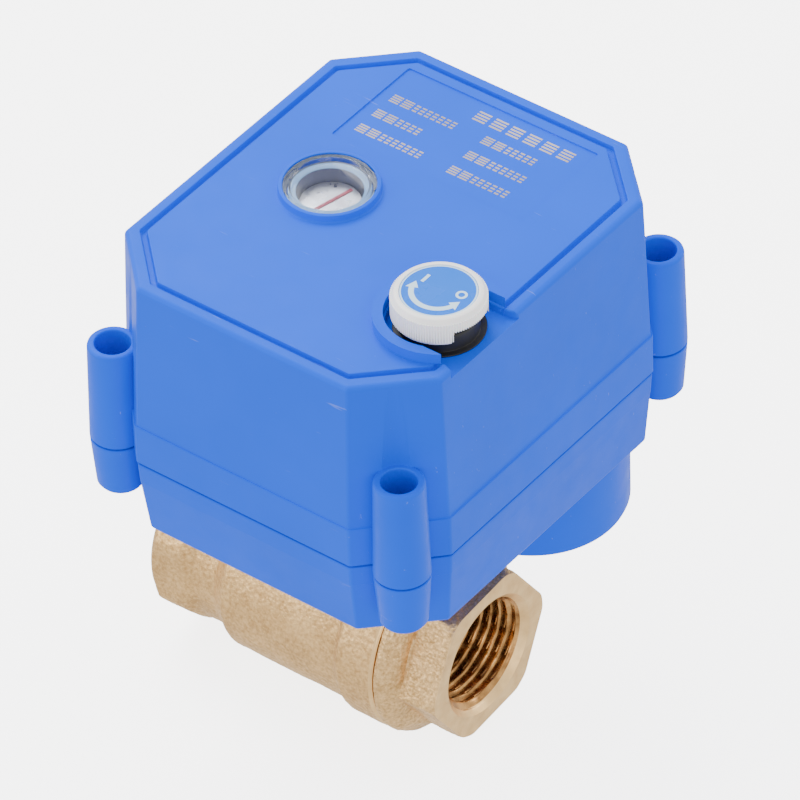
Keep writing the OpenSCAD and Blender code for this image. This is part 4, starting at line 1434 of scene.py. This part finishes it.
# ---------------------------------------------------------------- knob, window and small parts


def bars(name: str, look: Look, size: tuple[float, float, float], counts: tuple[int, int],
         steps: tuple[float, float], centre: tuple[float, float, float]) -> bpy.types.Object:
    """Sets a small bar over a grid.

    Args:
        name: The new piece's name.
        look: The bars' finish.
        size: Each bar's size.
        counts: How many along X and along Y.
        steps: The spacing along X and along Y.
        centre: The grid's middle.

    Returns:
        The bars.
    """
    tree = RepeatTree(name + "_tree")
    for key in ("Columns", "Rows"):
        tree.size(key, "Int")
    for key in ("Width", "Depth"):
        tree.size(key)
    grid = tree.node("GeometryNodeMeshGrid", {"Vertices X": "Columns", "Vertices Y": "Rows",
                                              "Size X": "Width", "Size Y": "Depth"})
    bar = tree.node("GeometryNodeMeshCube", {"Size": Vector(size) * MM})
    tree.finish(grid.outputs[0], bar.outputs["Mesh"], look)
    made = tree.run(name, {
        "Columns": counts[0], "Rows": counts[1],
        "Width": max(counts[0] - 1, 1) * steps[0] * MM, "Depth": max(counts[1] - 1, 1) * steps[1] * MM,
    })
    for vert in made.data.vertices:
        vert.co += Vector(centre) * MM
    return made


def mark(name: str, outline: Sequence[tuple[float, float]], low: float, high: float,
         look: Look) -> bpy.types.Object:
    """Builds a thin raised mark.

    Args:
        name: The new piece's name.
        outline: Points in order.
        low: Its lower face.
        high: Its upper face.
        look: Its finish.

    Returns:
        The mark.
    """
    piece = slab_between(name, outline, low, high)
    dress(piece, look)
    return piece


@dataclass
class Knob:
    """The override knob: a knurled cap, its blue label, the seal round its shaft and the spring."""

    ribs: int = 110
    notch_half_width: float = 4.6
    notch_height: float = 2.4
    label_radius: float = 6.33

    def __post_init__(self) -> None:
        """Reads the knob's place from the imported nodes."""
        low, high = corners("knob")
        label_low, label_high = corners("knob_label")
        seal_low, seal_high = corners("knob_seal")
        spring_low, spring_high = corners("knob_spring")
        self.low, self.top = low.z, high.z
        self.centre = ((label_low.x + label_high.x) / 2, (label_low.y + label_high.y) / 2)
        self.label_z = (label_low.z, label_high.z)
        self.seal_z = (seal_low.z, seal_high.z)
        self.spring_z = (spring_low.z, spring_high.z)
        self.spring_r = (spring_high.x - spring_low.x) / 2

    def around(self, radius: float, degrees: float) -> tuple[float, float]:
        """Returns a point about the knob's axis."""
        turn = math.radians(degrees)
        return (self.centre[0] + radius * math.cos(turn), self.centre[1] + radius * math.sin(turn))

    def cap(self) -> bpy.types.Object:
        """Builds the knurled cap."""
        low, top = self.low, self.top
        piece = cut_solid("knob_cap", rounded_path(
            [(0.0, low), (7.45, low), (7.55, low + 0.35), (7.72, top - 0.95), (7.2, top - 0.12),
             (6.75, top), (6.37, top), (6.37, top - 0.35), (0.0, top - 0.35)],
            [0, 0.12, 0.3, 0.75, 0.3, 0.15, 0.08, 0, 0], 5), self.centre, 220)
        ribs = ring_of_ribs("knurl", Look.KNOB, Count=self.ribs, Radius=7.72 * MM,
                            Rib_Radius=0.15 * MM, Rib_Height=(top - low - 1.45) * MM)
        middle = Vector((self.centre[0], self.centre[1], (top + low) / 2 - 0.15)) * MM
        for vert in ribs.data.vertices:
            vert.co += middle
        carve(piece, ribs, "UNION")
        hollow = [(3.1, low - 1), (6.7, low - 1), (6.7, top - 1.7), (3.1, top - 1.7)]
        carve(piece, new_object("hollow", lathe("hollow", hollow, self.centre, 96)))
        x, y = self.centre
        half = self.notch_half_width
        arch = rounded_path([(-half, low - 1), (half, low - 1), (half, low + self.notch_height),
                             (-half, low + self.notch_height)], [0, 0, 0.5, 0.5], 4)
        skin = Skin()
        for reach in (x + 2, x + 14):
            skin.ring(np.array([(reach, y + a, b) for a, b in arch]))
        carve(piece, new_object("notch", skin.mesh("notch")))
        carve(piece, cut_solid("screw_way", plug(1.9, top - 1.1, top), self.centre, 48))
        carve(piece, cut_solid("shaft_way", plug(2.0, low - 1, top - 3.3), self.centre, 48))
        dress(piece, Look.KNOB)
        smooth(piece.data, 38)
        settle(piece, "override_knob", "knob_white", "knob")
        return piece

    def arrow(self) -> list[tuple[float, float]]:
        """Returns the outline of the arc with a head at both ends."""
        radius, half, head, wide = 4.4, 0.45, 22.0, 1.05
        start, end = 181.0, 357.0
        inner = [self.around(radius - half, a) for a in np.linspace(start + head, end - head, 40)]
        outer = [self.around(radius + half, a) for a in np.linspace(end - head, start + head, 40)]
        tip_end = [self.around(radius - wide, end - head), self.around(radius, end),
                   self.around(radius + wide, end - head)]
        tip_start = [self.around(radius + wide, start + head), self.around(radius, start),
                     self.around(radius - wide, start + head)]
        return inner + tip_end + outer + tip_start

    def label(self) -> bpy.types.Object:
        """Builds the label with its arrow and its two end marks."""
        low, high = self.label_z
        disc = cut_solid("disc", [(0.0, low), (self.label_radius, low),
                                  (self.label_radius, high - 0.04),
                                  (self.label_radius - 0.05, high), (0.0, high)], self.centre, 128)
        dress(disc, Look.LABEL)
        rim = new_object("rim", lathe("rim", [(6.0, high - 0.01), (6.28, high - 0.01),
                                              (6.28, high + 0.02), (6.0, high + 0.02)],
                                      self.centre, 128))
        dress(rim, Look.LABEL_MARK)
        pieces = [disc, rim, mark("arrow", self.arrow(), high - 0.02, high + 0.04, Look.LABEL_MARK)]
        x, y = self.around(3.8, 160.0)
        shut = [(x - 0.28, y - 1.0), (x + 0.28, y - 1.0), (x + 0.28, y + 1.0), (x - 0.28, y + 1.0)]
        pieces.append(mark("shut", shut, high - 0.02, high + 0.04, Look.LABEL_MARK))
        opened = new_object("opened", lathe("opened", [
            (0.55, high - 0.02), (0.98, high - 0.02), (0.98, high + 0.04), (0.55, high + 0.04)],
            self.around(3.8, 20.0), 40))
        dress(opened, Look.LABEL_MARK)
        piece = join("label", pieces + [opened])
        smooth(piece.data, 35)
        settle(piece, "override_knob", "label_blue", "knob_label")
        return piece

    def seal(self) -> bpy.types.Object:
        """Builds the tall rubber seal."""
        low, high = self.seal_z
        profile = rounded_path(
            [(4.9, low), (7.6, low), (7.6, low + 0.28), (6.58, low + 0.34), (6.5, high - 1.2),
             (6.5, high), (4.9, high)], [0, 0.1, 0.1, 0.1, 0.2, 0.5, 0.2], 5)
        piece = new_object("seal", lathe("seal", profile, self.centre, 128))
        dress(piece, Look.RUBBER)
        smooth(piece.data, 50)
        settle(piece, "housing", "black_rubber", "knob_seal")
        return piece

    def spring(self) -> bpy.types.Object:
        """Builds the spring at one length, set on the knob's slide; the real spring shortens as the
        knob goes down.
        """
        low, high = self.spring_z
        wire, turns, steps, sides = 0.3, 3.5, 170, 12
        radius = self.spring_r - wire
        skin = Skin()
        for i in range(steps + 1):
            share = i / steps
            turn = 2 * math.pi * turns * share
            ease = min(1.0, max(0.0, (share - 0.12) / 0.76))
            height = low + wire + (high - low - 2 * wire) * ease
            ring = []
            for j in range(sides):
                tilt = 2 * math.pi * j / sides
                reach = radius + wire * math.cos(tilt)
                ring.append((self.centre[0] + reach * math.cos(turn),
                             self.centre[1] + reach * math.sin(turn),
                             height + wire * math.sin(tilt)))
            skin.ring(np.array(ring))
        piece = new_object("return_spring", skin.mesh("return_spring"))
        dress(piece, Look.STEEL)
        smooth(piece.data, 60)
        settle(piece, "override_slide", "zinc_steel", "knob_spring")
        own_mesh(piece)
        return piece


def build_window() -> bpy.types.Object:
    """Builds the clear lens with its concentric steps."""
    low, high = corners("window_lens")
    z, top = low.z, high.z
    profile = rounded_path(
        [(0.0, z), (5.3, z), (5.45, z), (7.7, z), (7.7, top - 0.12), (7.5, top),
         (6.75, top), (6.6, top - 0.18), (6.35, top - 0.6), (0.0, top - 0.6)],
        [0, 0, 0, 0, 0.08, 0.08, 0.12, 0.1, 0.2, 0], 4)
    piece = cut_solid("lens", profile, around=160)
    dress(piece, Look.LENS)
    smooth(piece.data, 30)
    settle(piece, "housing", "clear_lens", "window_lens")
    return piece


def build_sleeve() -> bpy.types.Object:
    """Builds the sleeve between lens and dial, with its pale upper rim; its dark walls are painted
    shade.
    """
    low, high = corners("window_sleeve")
    inner, outer = 5.6, 6.88
    profile = [(inner, low.z), (outer, low.z), (outer, high.z - 0.5), (outer, high.z),
               (inner + 0.12, high.z), (inner, high.z - 0.12), (inner, high.z - 0.5)]
    piece = new_object("sleeve", lathe("sleeve", profile, around=128, zones=(0, 0, 1, 1, 1, 0, 0)))
    dress(piece, Look.SLEEVE, Look.SLEEVE_RIM)
    smooth(piece.data, 35)
    settle(piece, "housing", "violet_sleeve", "window_sleeve")
    return piece


def build_gland(housing: Housing) -> bpy.types.Object:
    """Builds the cable gland: a plain stub, its hexagon, ribbed dome and bore.

    Args:
        housing: The shells that it is set in.

    Returns:
        The finished gland.
    """
    low, high = corners("cable_gland")
    x, z = housing.gland
    face, shoulder, around = 39.5, 42.5, 96
    profile = rounded_path(
        [(5.9, face), (7.0, face), (7.0, shoulder), (6.9, 42.7), (6.85, 44.2), (5.7, high.y),
         (3.2, high.y), (3.2, 42.0), (4.4, 42.0), (4.4, low.y + 0.02)],
        [0, 0, 0, 0.1, 1.2, 0.5, 0.4, 0, 0, 0], 4)
    skin = Skin(wrap=True)
    turn = np.linspace(0, 2 * math.pi, around, endpoint=False)
    for radius, y in profile:
        reach = np.full(around, radius)
        if y <= shoulder and radius > 6.5:
            reach = polygon_radius(turn, 6, 8 * math.sqrt(3), 30.0)
        elif shoulder < y < high.y - 0.4 and radius > 5.0:
            reach = reach + 0.12 * np.cos(turn * 16)
        skin.ring(np.column_stack([x + reach * np.cos(turn), np.full(around, y),
                                   z + reach * np.sin(turn)]))
    piece = new_object("gland", skin.mesh("gland"))
    dress(piece, Look.NYLON)
    smooth(piece.data, 30)
    settle(piece, "housing", "gland_plastic", "cable_gland")
    return piece


def build_nameplate(housing: Housing) -> bpy.types.Object:
    """Builds the nameplate's etched lines: rows of plain bars.

    Args:
        housing: The shells that carry it.

    Returns:
        The finished marks.
    """
    x0, y0, x1, y1 = housing.nameplate
    z = housing.top_z - 0.29
    letter, sign = (0.85, 0.36, 0.04), (1.9, 0.32, 0.04)
    pieces = [bars("heading", Look.ETCHED, (2.5, 0.38, 0.04), (6, 4), (3.4, 0.7),
                   ((x0 + x1) / 2 + 6.6, y1 - 3.2, z))]
    for row, (first, second) in enumerate(((7, 5), (4, 6), (7, 6))):
        y = y1 - 7.6 - row * 4.6
        for start, count in ((x0 + 4.3, first), (x0 + 23.0, second)):
            pieces.append(bars("signs", Look.ETCHED, sign, (2, 4), (2.3, 0.55), (start, y, z)))
            middle = start + 3.0 + (count - 1) * 0.62
            pieces.append(bars("letters", Look.ETCHED, letter, (count, 3), (1.24, 0.7),
                               (middle, y, z)))
    piece = join("nameplate_marks", pieces)
    settle(piece, "housing", "blue_plastic")
    return piece


def dress_packed(nodes: dict[str, bpy.types.Object]) -> None:
    """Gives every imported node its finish.

    Args:
        nodes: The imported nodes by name.
    """
    for look, names in PACKED_LOOKS.items():
        for name in names:
            dress(nodes[name], look)
            LOG.info("%s wears %s", name, look.name)


# ---------------------------------------------------------------- studio


@dataclass(frozen=True)
class Softbox:
    """A large soft lamp."""

    name: str
    place: tuple[float, float, float]
    size: float
    power: float
    colour: Colour = (1.0, 1.0, 1.0)

    def light(self) -> None:
        """Adds the lamp, aimed at the object's middle."""
        lamp = bpy.data.lights.new(self.name, "AREA")
        lamp.shape = "SQUARE"
        lamp.size = self.size
        lamp.energy = self.power
        lamp.color = self.colour
        held = bpy.data.objects.new(self.name, lamp)
        bpy.context.scene.collection.objects.link(held)
        held.location = self.place
        aim = Vector((0.008, 0.0, 0.045)) - Vector(self.place)
        held.rotation_euler = aim.to_track_quat("-Z", "Y").to_euler()


def build_studio() -> None:
    """Sets the floor, the pale surroundings, the lamps and the camera."""
    floor_mesh = bpy.data.meshes.new("floor")
    reach, depth = 3.0, -0.01812
    floor_mesh.from_pydata([(-reach, -reach, depth), (reach, -reach, depth), (reach, reach, depth),
                            (-reach, reach, depth)], [], [(0, 1, 2, 3)])
    floor = new_object("floor", floor_mesh)
    paper = bpy.data.materials.new("floor_paper")
    kit = Kit(paper)
    tone = kit.ramp(kit.noise(8.0, 2.0), 0.3, 0.7)
    kit.feed(kit.shader.inputs["Base Color"],
             kit.blend(tone, (0.90, 0.90, 0.90, 1.0), (0.93, 0.93, 0.93, 1.0)))
    kit.shader.inputs["Roughness"].default_value = 0.9
    kit.shader.inputs["Emission Color"].default_value = (1.0, 1.0, 1.0, 1.0)
    kit.shader.inputs["Emission Strength"].default_value = 4.0
    floor.data.materials.append(paper)
    floor.visible_diffuse = False
    floor.visible_glossy = False
    world = bpy.data.worlds.new("surroundings")
    bpy.context.scene.world = world
    world.use_nodes = True
    sky = world.node_tree.nodes["Background"]
    sky.inputs["Color"].default_value = (1.0, 1.0, 1.0, 1.0)
    sky.inputs["Strength"].default_value = 1.25
    for box in (
        Softbox("key", (-0.35, 0.15, 0.62), 0.45, 4.6),
        Softbox("fill", (0.65, -0.55, 0.35), 0.5, 2.2),
        Softbox("front", (-0.45, -0.6, 0.25), 0.4, 2.2),
        Softbox("back", (0.35, 0.7, 0.4), 0.4, 1.6),
    ):
        box.light()
    lens = bpy.data.cameras.new("camera")
    lens.lens, lens.sensor_width = 370.95, 36.0
    lens.clip_start, lens.clip_end = 0.05, 20.0
    camera = bpy.data.objects.new("camera", lens)
    bpy.context.scene.collection.objects.link(camera)
    right = Vector((0.79567609, 0.60512918, -0.02679983))
    up = Vector((-0.38135154, 0.53482736, 0.75400975))
    back = Vector((0.47060658, -0.58972737, 0.65631629))
    place = Vector((0.64967, -0.79790, 0.93597))
    camera.matrix_world = Matrix((
        (right.x, up.x, back.x, place.x), (right.y, up.y, back.y, place.y),
        (right.z, up.z, back.z, place.z), (0.0, 0.0, 0.0, 1.0)))
    bpy.context.scene.camera = camera


def main(nodes: dict[str, bpy.types.Object]) -> None:
    """Builds every visible piece and the studio.

    Args:
        nodes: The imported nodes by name.
    """
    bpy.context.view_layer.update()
    housing = Housing()
    housing.cover()
    housing.base()
    valve = Valve()
    valve.body()
    valve.cap()
    knob = Knob()
    knob.cap()
    knob.label()
    knob.seal()
    knob.spring()
    build_window()
    build_sleeve()
    build_gland(housing)
    build_nameplate(housing)
    dress_packed(nodes)
    build_studio()


if __name__ == "__main__":
    logging.basicConfig(level=logging.INFO, format="%(levelname)s %(message)s")
    main(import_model()["nodes"])
